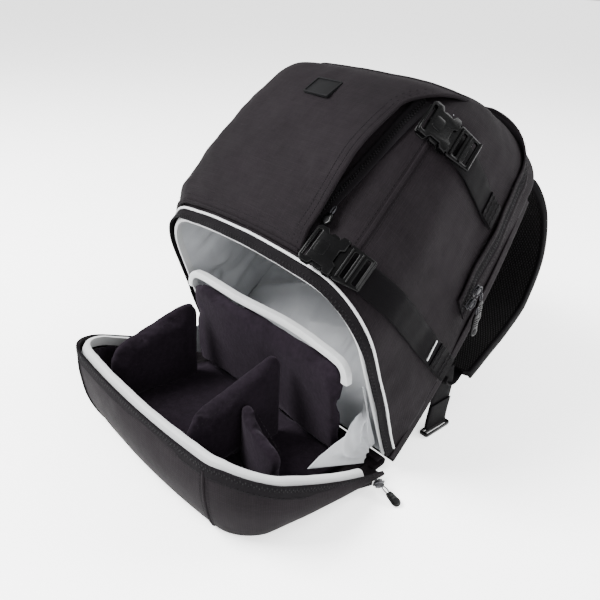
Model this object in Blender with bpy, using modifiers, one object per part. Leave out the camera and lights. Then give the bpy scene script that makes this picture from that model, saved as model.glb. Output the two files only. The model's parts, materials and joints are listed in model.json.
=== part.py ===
"""Camera backpack: a flat tray under a hinged pack, modelled open.

The tray lies on its base panel.  The pack is drawn closed and upright above the
hinge and its frame empty then leans it back, so every pack measure below is
(x, depth forward of the back panel, height above the hinge).
"""

import math

import bmesh
import bpy
from mathutils import Matrix, Vector

# ---- driving dimensions, metres and degrees -------------------------------
BASE_DEPTH = 0.204
HINGE_Y = BASE_DEPTH / 2
HINGE_Z = 0.008
LEAN = 45.5                 # how far the open pack leans back from upright

HALF_WIDTH = 0.163
DEPTH = 0.205               # back panel to the front corners
FRONT_BULGE = 0.017
CORNER_R = 0.055
SIDE_TAPER = 0.036          # half width lost between the base and the shoulder
FRONT_HEIGHT = 0.357
TOP_R = 0.060
TOP_SLOPE = 0.29            # the top rises towards the back
WALL = 0.005

ZIP_SLOPE = 0.446           # rise of the parting line per metre of depth
RIM_GAP = 0.004             # each rim stays this far from the parting plane
SEAM_S = 0.63               # side seam, as a share of the half outline

TRAY_DEPTH = 0.203
TRAY_BULGE = 0.011
TRAY_CORNER_R = 0.048
TRAY_SIDE_BULGE = 0.010
TRAY_WALL = 0.004
TRAY_TUCK = 0.019           # the tray is this much smaller at its foot
PAD = 0.007
DIVIDER = 0.008

WEB_W = 0.030               # compression webbing
WEB_T = 0.0016
WEB_OUT = 0.0048            # the webbing's middle stands this far outside the wall
UPPER_STRAP_H = 0.292
LOWER_STRAP_H = 0.130
STRAP_W = 0.062             # padded shoulder strap
STRAP_T = 0.012

COLORS = {
    "shell": ((0.030, 0.028, 0.031, 1), 0.85),
    "tape": ((0.016, 0.016, 0.018, 1), 0.8),
    "fleece": ((0.034, 0.028, 0.036, 1), 0.95),
    "binding": ((0.62, 0.63, 0.64, 1), 0.7),
    "lining": ((0.46, 0.48, 0.49, 1), 0.6),
    "mesh": ((0.020, 0.020, 0.021, 1), 0.9),
    "webbing": ((0.022, 0.022, 0.024, 1), 0.75),
    "plastic": ((0.012, 0.012, 0.013, 1), 0.35),
    "rubber": ((0.25, 0.25, 0.25, 1), 0.6),
}


def clear_scene():
    for obj in list(bpy.data.objects):
        bpy.data.objects.remove(obj, do_unlink=True)


clear_scene()
PARTS = bpy.data.collections.new("camera_backpack")
CUTTERS = bpy.data.collections.new("cutters")
for group in (PARTS, CUTTERS):
    bpy.context.scene.collection.children.link(group)


def material(name):
    found = bpy.data.materials.get(name)
    if found:
        return found
    color, rough = COLORS[name]
    mat = bpy.data.materials.new(name)
    mat.use_nodes = True
    shader = mat.node_tree.nodes["Principled BSDF"]
    shader.inputs["Base Color"].default_value = color
    shader.inputs["Roughness"].default_value = rough
    return mat


def frame_empty(name, location, rotation=(0, 0, 0), parent=None):
    empty = bpy.data.objects.new(name, None)
    empty.empty_display_size = 0.03
    empty.location = location
    empty.rotation_euler = rotation
    empty.parent = parent
    PARTS.objects.link(empty)
    return empty


def place(obj, mat, parent=None, location=(0, 0, 0), rotation=(0, 0, 0)):
    for owner in list(obj.users_collection):
        owner.objects.unlink(obj)
    PARTS.objects.link(obj)
    obj.parent = parent
    obj.location = location
    obj.rotation_euler = rotation
    obj.data.materials.clear()
    obj.data.materials.append(material(mat))
    return obj


def thicken(obj, thickness, offset=0.0):
    mod = obj.modifiers.new("thickness", "SOLIDIFY")
    mod.thickness = thickness
    mod.offset = offset
    mod.use_even_offset = True
    return obj


def soften(obj, width, segments=2, angle=30):
    mod = obj.modifiers.new("rounding", "BEVEL")
    mod.width = width
    mod.segments = segments
    mod.limit_method = "ANGLE"
    mod.angle_limit = math.radians(angle)
    return obj


def sheet(name, point, across, along, thickness, mat, parent=None, offset=0.0):
    """A curved panel: point(u, v) with u and v from 0 to 1, given a thickness."""
    bm = bmesh.new()
    rows = [
        [bm.verts.new(point(i / across, j / along)) for i in range(across + 1)]
        for j in range(along + 1)
    ]
    for low, high in zip(rows, rows[1:]):
        for i in range(across):
            bm.faces.new((low[i], low[i + 1], high[i + 1], high[i]))
    mesh = bpy.data.meshes.new(name)
    bm.to_mesh(mesh)
    bm.free()
    mesh.shade_smooth()
    obj = bpy.data.objects.new(name, mesh)
    place(obj, mat, parent)
    return thicken(obj, thickness, offset)


def tube(name, points, radius, mat, parent=None):
    """A round cord through the points, with filled ends."""
    curve = bpy.data.curves.new(name, "CURVE")
    curve.dimensions = "3D"
    curve.bevel_depth = radius
    curve.bevel_resolution = 1
    curve.use_fill_caps = True
    line = curve.splines.new("POLY")
    line.points.add(len(points) - 1)
    for target, p in zip(line.points, points):
        target.co = (*p, 1)
    return place(bpy.data.objects.new(name, curve), mat, parent)


def block(name, size, mat, parent=None, location=(0, 0, 0), rotation=(0, 0, 0), rounding=0.001):
    bpy.ops.mesh.primitive_cube_add(size=1)
    obj = bpy.context.object
    obj.name = name
    obj.data.name = name
    obj.data.transform(Matrix.Diagonal((*size, 1)))
    place(obj, mat, parent, location, rotation)
    return soften(obj, rounding) if rounding else obj


def plate(name, outline, thickness, mat, parent=None, location=(0, 0, 0), rotation=(0, 0, 0)):
    """A flat outline in its own XY plane, extruded about that plane."""
    curve = bpy.data.curves.new(name, "CURVE")
    curve.dimensions = "2D"
    curve.fill_mode = "BOTH"
    curve.extrude = thickness / 2
    line = curve.splines.new("POLY")
    line.points.add(len(outline) - 1)
    for target, p in zip(line.points, outline):
        target.co = (p[0], p[1], 0, 1)
    line.use_cyclic_u = True
    return place(bpy.data.objects.new(name, curve), mat, parent, location, rotation)


def cut(obj, size, location):
    """Cuts a box out of obj; the box is placed in obj's own frame."""
    bpy.ops.mesh.primitive_cube_add(size=1)
    cutter = bpy.context.object
    cutter.name = obj.name + "_cutter"
    cutter.data.transform(Matrix.Diagonal((*size, 1)))
    for owner in list(cutter.users_collection):
        owner.objects.unlink(cutter)
    CUTTERS.objects.link(cutter)
    cutter.parent = obj
    cutter.location = location
    cutter.hide_render = True
    cutter.display_type = "WIRE"
    mod = obj.modifiers.new("cut", "BOOLEAN")
    mod.object = cutter
    mod.operation = "DIFFERENCE"
    return obj


# ---- outlines --------------------------------------------------------------
def outline(s, half_width, depth, radius, bulge, side_bulge=0.0):
    """Plan of a bag: s 0 is the right rear end, 1 the front centre, 2 the left rear."""
    mirrored = s > 1
    t = 2 - s if mirrored else s
    side = depth - radius
    arc = radius * math.pi / 2
    run = t * (side + arc + half_width - radius)
    if run < side:
        x, d = half_width, run
    elif run < side + arc:
        a = (run - side) / radius
        x = half_width - radius + radius * math.cos(a)
        d = side + radius * math.sin(a)
    else:
        x = half_width - radius - (run - side - arc)
        d = depth
    x += side_bulge * math.sin(math.pi * min(1, d / depth)) * (x / half_width)
    d += bulge * (1 - (x / half_width) ** 2) if x < half_width else 0
    return (-x if mirrored else x), d


def rim_height(d):
    return d * ZIP_SLOPE


def shoulder_height(d):
    return FRONT_HEIGHT - TOP_R + TOP_SLOPE * (DEPTH - d)


def taper(h):
    """Half width the pack has lost at height h."""
    return SIDE_TAPER * (h / FRONT_HEIGHT) ** 2


def pack_wall(s, v, out=0.0, low=0.0, high=0.0):
    """A point on the pack's wall: v runs from the rim (plus low) to the shoulder."""
    _, d = outline(s, HALF_WIDTH + out, DEPTH + out, CORNER_R + out, FRONT_BULGE)
    bottom = rim_height(d) + RIM_GAP + low
    top = shoulder_height(d) - 0.001 - high
    h = bottom + (top - bottom) * v
    return pack_at(s, h, out)


def pack_at(s, h, out=0.0):
    """A point on the pack's wall at height h, standing out from it."""
    x, d = outline(s, HALF_WIDTH + out - taper(h), DEPTH + out, CORNER_R + out, FRONT_BULGE)
    return x, -d, h


def over_top(x, d, angle, radius=TOP_R):
    """Carries a shoulder point over the rounded top; angle 0 is the shoulder."""
    inset = radius * (1 - math.cos(angle))
    mid = DEPTH / 2
    d = mid + (d - mid) * (1 - inset / mid)
    return x * (1 - inset / HALF_WIDTH), -d, shoulder_height(d) + radius * math.sin(angle)


def cap_at(s, angle, out=0.0):
    """A point over the rounded top, above the wall position s, standing out from it."""
    _, d = outline(s, HALF_WIDTH + out, DEPTH + out, CORNER_R + out, FRONT_BULGE)
    x, y, _ = pack_at(s, shoulder_height(d), out)
    return over_top(x, -y, angle, TOP_R + out)


def tray_at(s, z, out=0.0):
    x, d = outline(
        s, HALF_WIDTH + out, TRAY_DEPTH + out, TRAY_CORNER_R + out, TRAY_BULGE, TRAY_SIDE_BULGE
    )
    return x, HINGE_Y - d, z


def tray_rim(s, out=0.0):
    _, y, _ = tray_at(s, 0, out)
    return HINGE_Z + rim_height(min(HINGE_Y - y, TRAY_DEPTH)) - RIM_GAP


def tray_wall(s, v, out=0.0, foot=0.0012, below=0.0):
    """A point on the tray's wall, which swells a little at half height."""
    swell = -TRAY_TUCK * (1 - v) ** 2 + 0.004 * math.sin(math.pi * v)
    top = max(tray_rim(s, out) - below, foot + 0.004)
    return tray_at(s, foot + (top - foot) * v, out + swell)


def span(a, b, u):
    return a + (b - a) * u


# ---- tray ------------------------------------------------------------------
REAR_S = 0.03
TRAY_SEAM_S = 0.655
PAD_INSET = 0.0096          # from the outside of the tray wall to the middle of its padding


def build_tray():
    steps = 28
    ring = [tray_at(2 * i / steps, 0, -TRAY_TUCK - 0.0045)[:2] for i in range(steps + 1)]
    plate("base_panel", ring, 0.005, "shell", location=(0, 0, 0.0025))
    inset = -TRAY_TUCK - 0.015
    pad_ring = [tray_at(span(0.05, 1.95, i / steps), 0, inset)[:2] for i in range(steps + 1)]
    plate("floor_pad", pad_ring, PAD, "fleece", location=(0, 0, 0.0055 + PAD / 2))

    def wall(name, s0, s1, count):
        sheet(name, lambda u, v: tray_wall(span(s0, s1, u), v), count, 4, TRAY_WALL, "shell")

    wall("tray_front_wall", TRAY_SEAM_S + 0.002, 2 - TRAY_SEAM_S - 0.002, 14)
    wall("tray_side_right", REAR_S, TRAY_SEAM_S, 13)
    wall("tray_side_left", 2 - TRAY_SEAM_S, 2 - REAR_S, 13)

    def lining(name, s0, s1, count):
        sheet(
            name,
            lambda u, v: tray_wall(span(s0, s1, u), v, -PAD_INSET, 0.0135, 0.010),
            count, 4, PAD, "fleece",
        )

    lining("front_pad", TRAY_SEAM_S + 0.004, 2 - TRAY_SEAM_S - 0.004, 12)
    lining("right_pad", 0.17, TRAY_SEAM_S, 14)
    lining("left_pad", 1.83, 2 - TRAY_SEAM_S, 14)

    def tape(u, v):
        s = span(0.11, 1.89, u)
        return tray_wall(s, 0.99 - 0.010 * v / tray_rim(s), 0.0052)

    sheet("tray_zip_tape", tape, 44, 1, 0.0016, "tape")
    edge = []
    for i in range(31):
        s = span(0.14, 1.86, i / 30)
        x, y, _ = tray_wall(s, 1, -0.0085)
        edge.append((x, y, tray_rim(s) - 0.0048))
    tube("tray_binding", edge, 0.0038, "binding")


REAR_D = 0.048
REAR_HALF = 0.138
REAR_CROWN = 0.006          # the rear panel is this much higher at its middle


def rear_panel_point(u, v):
    x = span(-REAR_HALF, REAR_HALF, u)
    crown = REAR_CROWN * (1 - (x / REAR_HALF) ** 4)
    h = span(0.0145, 0.141 + crown, v)
    return x, HINGE_Y - REAR_D + 0.010 * (1 - v), h


def build_rear_panel():
    sheet("rear_panel", rear_panel_point, 12, 4, PAD, "fleece")
    top = []
    for i in range(13):
        x, y, z = rear_panel_point(i / 12, 1)
        top.append((x, y, z + 0.0055))
    tube("rear_panel_binding", top, 0.0045, "binding")


FOOT_SLANT = 0.013          # the dividers' front edges follow the tray's tucked foot


def divider(name, start, end, rear_top, front_top):
    """A padded wall with a sloped, round-cornered top; it lifts straight out."""
    a, b = Vector(start), Vector(end)
    length = (b - a).length
    angle = math.atan2(b.y - a.y, b.x - a.x)
    foot = 0.014
    corner = 0.014
    profile = [(0, foot), (length - FOOT_SLANT, foot)]
    for i in range(4):
        t = math.radians(i * 30)
        profile.append((length - corner + corner * math.cos(t), front_top - corner + corner * math.sin(t)))
    for i in range(4):
        t = math.radians(90 + i * 30)
        profile.append((corner + corner * math.cos(t), rear_top - corner + corner * math.sin(t)))
    return plate(
        name, profile, DIVIDER, "fleece",
        location=(a.x, a.y, 0), rotation=(math.radians(90), 0, angle),
    )


def build_dividers():
    def at(x, d):
        return x, HINGE_Y - d

    divider("divider_left", at(-0.108, 0.060), at(-0.113, 0.182), 0.128, 0.090)
    divider("divider_right", at(0.052, 0.060), at(0.056, 0.192), 0.130, 0.088)
    divider("divider_right_cross", at(0.0615, 0.118), at(0.138, 0.134), 0.102, 0.060)
    divider("divider_left_cross", at(-0.118, 0.136), at(-0.141, 0.134), 0.088, 0.068)


def build_gussets():
    """A thin fabric triangle between the two rims on each side, next to the hinge."""
    lean = math.radians(LEAN)

    def on_pack(d, lift):
        h = rim_height(d) + lift
        y = math.sin(lean) * h - math.cos(lean) * d
        return y, HINGE_Z + math.cos(lean) * h + math.sin(lean) * d

    y_far, z_far = on_pack(0.115, -0.004)
    y_near, z_near = on_pack(0.022, -0.004)
    corners = [
        (-0.020, HINGE_Z + rim_height(0.020) + 0.006),
        (-0.112, HINGE_Z + rim_height(0.112) + 0.006),
        (-0.082, 0.088),
        (y_far, z_far),
        (y_near, z_near),
    ]
    for side, sign in (("right", 1), ("left", -1)):
        outline_points = [(HINGE_Y + y, z) for y, z in corners]
        plate(
            "gusset_" + side, outline_points, 0.0016, "lining",
            location=(sign * (HALF_WIDTH - 0.014), 0, 0),
            rotation=(math.radians(90), 0, math.radians(90)),
        )


# ---- zip sliders and pulls --------------------------------------------------
def slider(name, mat, parent, location, rotation=(0, 0, 0)):
    return block(name, (0.007, 0.012, 0.005), mat, parent, location, rotation, 0.0012)


def pull_tab(name, parent, length=0.030):
    """A flat tab that hangs from the origin of its parent frame along -Z."""
    half = 0.0045
    profile = [(-half * 0.6, -0.0015), (-half, -0.006), (-half * 1.3, -length + 0.004)]
    for i in range(5):
        t = math.radians(180 + 45 * i)
        profile.append((half * 1.3 * math.cos(t), -length + 0.003 + half * 1.3 * math.sin(t)))
    profile += [(half, -0.006), (half * 0.6, -0.0015)]
    return plate(name, profile, 0.002, "plastic", parent, rotation=(math.radians(90), 0, 0))


MAIN_SLIDER_S = 0.088       # where the parting zip's sliders stand on the tray's outline
MAIN_SLIDER_OUT = 0.0116    # outside the tray wall, clear of the zip tape
MAIN_SLIDER_DROP = 0.006    # below the tray's rim
MAIN_PULL_L = 0.024
MAIN_PULL_OUT = 0.0055      # from the slider's middle to the pull's hinge
PULL_END_LIFT = 0.003       # the pull's end rests on the floor at this height of its axis


def build_main_zip():
    """Sliders at both rear ends of the parting zip, with pulls leaning out to the floor."""
    rear_x, y, rim_z = tray_wall(MAIN_SLIDER_S, 1)
    z = rim_z - MAIN_SLIDER_DROP
    slope = math.acos((z - PULL_END_LIFT) / MAIN_PULL_L)
    for side, sign in (("right", 1), ("left", -1)):
        x = sign * (rear_x + MAIN_SLIDER_OUT)
        slider("main_zip_slider_" + side, "plastic", None, (x, y, z), (-math.atan(ZIP_SLOPE), 0, 0))
        hang = frame_empty(
            "main_zip_pull_axis_" + side, (x + sign * MAIN_PULL_OUT, y, z), (0, -sign * slope, 0)
        )
        turn = frame_empty("main_zip_pull_turn_" + side, (0, 0, 0), (0, 0, math.radians(90)), hang)
        pull_tab("main_zip_pull_" + side, turn, MAIN_PULL_L)


# ---- pack ------------------------------------------------------------------
def build_pack_shell(pack):
    def panel(name, s0, s1, count):
        sheet(
            name, lambda u, v: pack_wall(span(s0, s1, u), v), count, 6, WALL, "shell", pack, 0
        )

    panel("pack_side_right", 0.012, SEAM_S - 0.0015, 9)
    panel("pack_front", SEAM_S + 0.0015, 2 - SEAM_S - 0.0015, 12)
    panel("pack_side_left", 2 - SEAM_S + 0.0015, 1.988, 9)
    build_cap(pack)

    def back(u, v):
        h = span(0.008, shoulder_height(0) - 0.003, v)
        half = HALF_WIDTH - taper(h) - 0.001
        return span(-half, half, u), 0.006, h

    sheet("back_panel", back, 8, 6, 0.009, "mesh", pack)


def cap_loop(points_round=24, points_back=6):
    loop = []
    for i in range(points_round + 1):
        s = 2 * i / points_round
        _, d = outline(s, HALF_WIDTH, DEPTH, CORNER_R, FRONT_BULGE)
        x, y, _ = pack_at(s, shoulder_height(d))
        loop.append((x, -y))
    left, right = loop[-1], loop[0]
    for i in range(1, points_back):
        loop.append((span(left[0], right[0], i / points_back), 0.0))
    return loop


def build_cap(pack):
    """The domed top: rings over the shoulder, closed by one face."""
    bm = bmesh.new()
    rings = []
    for k in range(7):
        angle = math.radians(15 * k)
        rings.append([bm.verts.new(over_top(x, d, angle)) for x, d in cap_loop()])
    count = len(rings[0])
    for low, high in zip(rings, rings[1:]):
        for i in range(count):
            j = (i + 1) % count
            bm.faces.new((low[i], low[j], high[j], high[i]))
    bm.faces.new(rings[-1])
    bmesh.ops.recalc_face_normals(bm, faces=bm.faces)
    mesh = bpy.data.meshes.new("pack_top")
    bm.to_mesh(mesh)
    bm.free()
    mesh.shade_smooth()
    obj = place(bpy.data.objects.new("pack_top", mesh), "shell", pack)
    thicken(obj, WALL, 0)


def build_rim(pack):
    def tape(u, v):
        s = span(0.03, 1.97, u)
        _, d = outline(s, HALF_WIDTH, DEPTH, CORNER_R, FRONT_BULGE)
        return pack_at(s, rim_height(d) + RIM_GAP + 0.001 + 0.012 * v, 0.0052)

    sheet("pack_zip_tape", tape, 44, 1, 0.0016, "tape", pack)
    cord = []
    for i in range(37):
        s = span(0.03, 1.97, i / 36)
        _, d = outline(s, HALF_WIDTH, DEPTH, CORNER_R, FRONT_BULGE)
        cord.append(pack_at(s, rim_height(d) + RIM_GAP + 0.0160, 0.0056))
    tube("pack_rim_piping", cord, 0.0014, "binding", pack)


COVER_OUT = 0.0115
COVER_TOP_ANGLE = 48        # how far the cover reaches over the rounded top
COVER_WALL_SHARE = 0.8      # share of the cover's length that lies on the wall
COVER_FREE_S, COVER_SEAM_S = 0.775, 1.47


def cover_point(u, v):
    """u runs from the free right edge to the left seam, v from the rim to the top seam."""
    flare = 0.085 * max(0.0, (v - 0.45) / 0.55) ** 2
    s = span(COVER_FREE_S - flare, COVER_SEAM_S, u)
    lift = COVER_OUT + 0.004 * math.sin(math.pi * v) * math.sin(math.pi * u)
    if v <= COVER_WALL_SHARE:
        return pack_wall(s, v / COVER_WALL_SHARE, lift, 0.022)
    over = (v - COVER_WALL_SHARE) / (1 - COVER_WALL_SHARE)
    return cap_at(s, math.radians(COVER_TOP_ANGLE) * over, lift)


PATCH_U = 0.40              # across the cover, from its free edge


def build_cover(pack):
    """The bulging front overlay: sewn top, bottom and left, free along its right edge."""
    sheet("front_cover", cover_point, 16, 12, 0.0035, "shell", pack)
    low, high = Vector(cover_point(PATCH_U, 0.758)), Vector(cover_point(PATCH_U, 0.848))
    tilt = math.atan2((high - low).y, (high - low).z)
    middle = (low + high) / 2
    normal = Vector((0, -math.cos(tilt), math.sin(tilt)))
    block(
        "patch", (0.040, 0.0016, 0.026), "rubber", pack,
        middle + normal * 0.0040, (-tilt, 0, 0), 0.0004,
    )


def pocket_pull(pack):
    x, y, z = pack_at(0.750, 0.176, 0.0062)
    hang = frame_empty("pocket_zip_pull_axis", (x, y, z), (0, 0, 0), pack)
    pull_tab("pocket_zip_pull", hang, 0.020)


OPENING_D = 0.040           # the opening zip runs this far in front of the back panel
OPENING_LOW = 0.185         # and ends this high on both sides
OPENING_OUT = 0.0068
OPENING_HALF = 0.008
OPENING_SLIDER_OUT = 0.0128      # the sliders stand this far outside the wall
UPPER_SLIDER_H, LOWER_SLIDER_H = 0.212, 0.196
SHOULDER_T, ROOF_T = 0.593, 0.45    # where its path leaves the side and reaches the roof


def opening_path(t):
    """The opening zip's line: t -1 is its left end, 0 the top's middle, 1 its right end."""
    a = abs(t)
    shoulder = shoulder_height(OPENING_D)
    if a > SHOULDER_T:
        h = span(shoulder, OPENING_LOW, (a - SHOULDER_T) / (1 - SHOULDER_T))
        return math.copysign(HALF_WIDTH - taper(h) + OPENING_OUT, t), -OPENING_D, h
    angle = math.radians(90) * min(1.0, (SHOULDER_T - a) / (SHOULDER_T - ROOF_T))
    x, y, h = over_top(
        HALF_WIDTH - taper(shoulder) + OPENING_OUT, OPENING_D, angle, TOP_R + OPENING_OUT
    )
    return math.copysign(x * min(1.0, a / ROOF_T), t), y, h


def build_opening_zip(pack):
    def strip(u, v):
        x, y, h = opening_path(span(1, -1, u))
        back = span(OPENING_HALF, -OPENING_HALF, v)
        return x, y + back, h + TOP_SLOPE * back

    sheet("opening_zip_tape", strip, 46, 1, 0.0014, "tape", pack)
    for name, h, layer in (("upper", UPPER_SLIDER_H, 0.0045), ("lower", LOWER_SLIDER_H, 0.0078)):
        x = HALF_WIDTH - taper(h) + OPENING_SLIDER_OUT
        slider(
            "opening_zip_slider_" + name, "plastic", pack,
            (x, -OPENING_D, h), (math.radians(90), 0, 0),
        )
        # the pulls hang plumb, one outside the other
        hang = frame_empty(
            "opening_zip_pull_axis_" + name, (x + layer, -OPENING_D, h), (math.radians(LEAN), 0, 0), pack
        )
        turn = frame_empty("opening_zip_pull_turn_" + name, (0, 0, 0), (0, 0, math.radians(90)), hang)
        pull_tab("opening_zip_pull_" + name, turn, 0.034)


# ---- compression straps and buckles ----------------------------------------
def build_strap(name, pack, s0, s1, h0, h1):
    def web(u, v):
        s = span(s0, s1, u)
        h = span(h0, h1, u) + span(-WEB_W / 2, WEB_W / 2, v)
        return pack_at(s, h, WEB_OUT)

    sheet(name, web, 14, 1, WEB_T, "webbing", pack)


SOCKET_L = 0.034
TONGUE_L = 0.030
PRONG_L = 0.024
BUCKLE_OUT = 0.0118         # the buckles' middle stands this far outside the wall
BUCKLE_STEP = 0.01          # share of the outline that gives their direction


def build_buckle(name, pack, s, h, side):
    """Socket towards the front; tongue pulls out of it along its frame's +X."""
    x0, y0, _ = pack_at(s - BUCKLE_STEP, h, BUCKLE_OUT)
    x1, y1, _ = pack_at(s + BUCKLE_STEP, h, BUCKLE_OUT)
    x, y, _ = pack_at(s, h, BUCKLE_OUT)
    direction = Vector((x0 - x1, y0 - y1, 0)) if side > 0 else Vector((x1 - x0, y1 - y0, 0))
    angle = math.atan2(direction.y, direction.x)
    lean = -side * math.atan(2 * SIDE_TAPER * h / FRONT_HEIGHT ** 2)
    frame = frame_empty("buckle_axis_" + name, (x, y, h), (lean, 0, angle), pack)
    socket = block(
        "buckle_socket_" + name, (SOCKET_L, 0.0095, 0.040), "plastic", frame,
        (-SOCKET_L / 2 - 0.0005, 0, 0), (0, 0, 0), 0.002,
    )
    cut(socket, (SOCKET_L, 0.0055, 0.034), (0.004, 0, 0))
    outline_points = [
        (0.001, -0.018), (TONGUE_L, -0.018), (TONGUE_L, 0.018), (0.001, 0.018), (0.001, 0.015),
        (-PRONG_L, 0.015), (-PRONG_L, 0.009), (-0.004, 0.006),
        (-0.004, -0.006), (-PRONG_L, -0.009), (-PRONG_L, -0.015), (0.001, -0.015),
    ]
    plate(
        "buckle_tongue_" + name, outline_points, 0.0045, "plastic", frame, rotation=(math.radians(90), 0, 0)
    )


STRAP_DROP = 0.004          # each strap ends this much lower than it starts
STRAP_RUNS = {
    # where each strap starts and ends on the outline, where its buckle sits, and how much lower
    "upper_right": (0.66, 0.20, 0.580, 0),
    "lower_right": (0.625, 0.015, 0.645, 0),
    "upper_left": (1.50, 1.80, 1.63, 0.0015),
    "lower_left": (1.50, 1.985, 1.63, 0.0015),
}


def build_compression(pack):
    for height, level in ((UPPER_STRAP_H, "upper"), (LOWER_STRAP_H, "lower")):
        for side, sign in (("right", 1), ("left", -1)):
            front, rear, buckle_s, drop = STRAP_RUNS[level + "_" + side]
            build_strap("strap_" + level + "_" + side, pack, front, rear, height, height - STRAP_DROP)
            build_buckle(level + "_" + side, pack, buckle_s, height - drop, sign)


# ---- harness ----------------------------------------------------------------
HARNESS = [
    # x, depth, height of the padded strap's centre line
    (0.070, -0.006, 0.380),
    (0.078, -0.036, 0.391),
    (0.092, -0.074, 0.374),
    (0.106, -0.100, 0.330),
    (0.116, -0.106, 0.272),
    (0.124, -0.094, 0.224),
    (0.132, -0.075, 0.182),
    (0.138, -0.060, 0.142),
]


def along(points, t):
    """Catmull-Rom point on a list of control points, t from 0 to 1."""
    run = t * (len(points) - 1)
    i = min(int(run), len(points) - 2)
    f = run - i
    p = [Vector(points[max(0, min(len(points) - 1, i + k))]) for k in (-1, 0, 1, 2)]
    return 0.5 * (
        2 * p[1] + (p[2] - p[0]) * f + (2 * p[0] - 5 * p[1] + 4 * p[2] - p[3]) * f * f
        + (3 * p[1] - p[0] - 3 * p[2] + p[3]) * f ** 3
    )


TAIL_Y = 0.104              # the tails hang this far behind the hinge
TAIL_TOP = 0.080
HANDLE_Y, HANDLE_H = 0.0185, 0.358      # where the haul loop hangs, behind the top of the back


def build_harness(pack):
    """Two padded straps, their webbing tails down to the floor, and a haul loop."""
    lean = math.radians(LEAN)
    for side, sign in (("right", 1), ("left", -1)):
        def strap(u, v, sign=sign):
            x, d, h = along(HARNESS, v)
            width = STRAP_W * (1 - 0.30 * max(0.0, v - 0.6) / 0.4)
            return sign * (x + span(-width / 2, width / 2, u)), -d, h

        sheet("shoulder_strap_" + side, strap, 3, 18, STRAP_T, "mesh", pack)
        # the tail hangs plumb from the pack's lower corner to the floor
        x, y = sign * 0.150, HINGE_Y + TAIL_Y
        adjuster = block(
            "strap_adjuster_" + side, (0.012, 0.046, 0.0075), "plastic",
            None, (x, y, 0.0038), (0, 0, 0), 0.0015,
        )
        world_to_pack(adjuster, pack)
        half = 0.019
        profile = [(-half, 0.0082), (half, 0.0082), (half, TAIL_TOP + half), (-half, TAIL_TOP - half)]
        tail = plate(
            "strap_tail_" + side, profile, 0.0025, "webbing",
            None, (x, y, 0), (math.radians(90), 0, math.radians(90)),
        )
        world_to_pack(tail, pack)
    loop = []
    for i in range(13):
        t = math.radians(180 * i / 12)
        loop.append((0.045 * math.cos(t), 0.0, -0.003 - 0.042 * math.sin(t)))
    hang = frame_empty("grab_handle_axis", (0, HANDLE_Y, HANDLE_H), (lean, 0, 0), pack)
    tube("grab_handle", loop, 0.0045, "webbing", hang)


def world_to_pack(obj, pack):
    """Parents a floor-standing piece to the pack without moving it."""
    bpy.context.view_layer.update()
    obj.parent = pack
    obj.matrix_parent_inverse = pack.matrix_world.inverted()


def build_pads(pack):
    def pad(name, h0, h1, half, thick):
        def point(u, v):
            return span(-half, half, u), 0.0108 + thick / 2, span(h0, h1, v)

        sheet(name, point, 4, 4, thick, "mesh", pack)

    pad("back_pad", 0.120, 0.315, 0.125, 0.012)
    pad("lumbar_pad", 0.034, 0.112, 0.125, 0.014)


def main():
    build_tray()
    build_rear_panel()
    build_dividers()
    build_gussets()
    build_main_zip()
    pack = frame_empty("pack_hinge", (0, HINGE_Y, HINGE_Z), (-math.radians(LEAN), 0, 0))
    build_pack_shell(pack)
    build_rim(pack)
    build_cover(pack)
    pocket_pull(pack)
    build_opening_zip(pack)
    build_compression(pack)
    build_harness(pack)
    build_pads(pack)
    bpy.context.view_layer.update()


main()
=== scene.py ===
"""The camera backpack's looks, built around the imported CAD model."""

import functools
import json
import math

import bmesh
import bpy
from mathutils import Matrix, Vector, noise


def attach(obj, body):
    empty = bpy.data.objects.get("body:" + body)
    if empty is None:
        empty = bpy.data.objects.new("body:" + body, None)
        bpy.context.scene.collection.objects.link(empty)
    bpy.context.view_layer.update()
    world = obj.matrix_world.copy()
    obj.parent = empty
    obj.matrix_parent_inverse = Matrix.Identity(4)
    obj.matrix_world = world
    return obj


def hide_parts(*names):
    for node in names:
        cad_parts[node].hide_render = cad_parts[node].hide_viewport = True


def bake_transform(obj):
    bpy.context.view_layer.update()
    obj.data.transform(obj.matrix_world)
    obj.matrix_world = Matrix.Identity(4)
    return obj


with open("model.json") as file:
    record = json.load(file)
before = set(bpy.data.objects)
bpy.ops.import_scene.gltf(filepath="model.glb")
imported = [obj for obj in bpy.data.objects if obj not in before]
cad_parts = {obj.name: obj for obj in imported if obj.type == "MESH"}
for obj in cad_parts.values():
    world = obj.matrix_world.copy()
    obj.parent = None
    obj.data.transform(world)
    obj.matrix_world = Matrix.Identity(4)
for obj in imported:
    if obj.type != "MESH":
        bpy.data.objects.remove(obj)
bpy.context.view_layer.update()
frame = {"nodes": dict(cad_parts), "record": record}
JOINTS = {joint["name"]: joint for joint in frame["record"]["behaviour"]["joints"]}

# ---- driving dimensions, the same as the CAD model's ------------------------
HINGE = Vector(JOINTS["pack_fold"]["pos_m"])
HINGE_Y, HINGE_Z = HINGE.y, HINGE.z
LEAN = math.radians(45.5)
HALF_WIDTH, DEPTH, FRONT_BULGE, CORNER_R = 0.163, 0.205, 0.017, 0.055
SIDE_TAPER, FRONT_HEIGHT, TOP_R, TOP_SLOPE = 0.036, 0.357, 0.060, 0.29
ZIP_SLOPE, RIM_GAP, SEAM_S = 0.446, 0.004, 0.63
TRAY_DEPTH, TRAY_BULGE, TRAY_CORNER_R, TRAY_SIDE_BULGE = 0.203, 0.011, 0.048, 0.010
TRAY_SEAM_S, TRAY_TUCK = 0.655, 0.019
WEB_W = 0.030
UPPER_STRAP_H, LOWER_STRAP_H, BUCKLE_OUT = 0.292, 0.130, 0.0118
OPENING_OUT, OPENING_D, OPENING_SLIDER_OUT = 0.0068, 0.040, 0.0108
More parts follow.
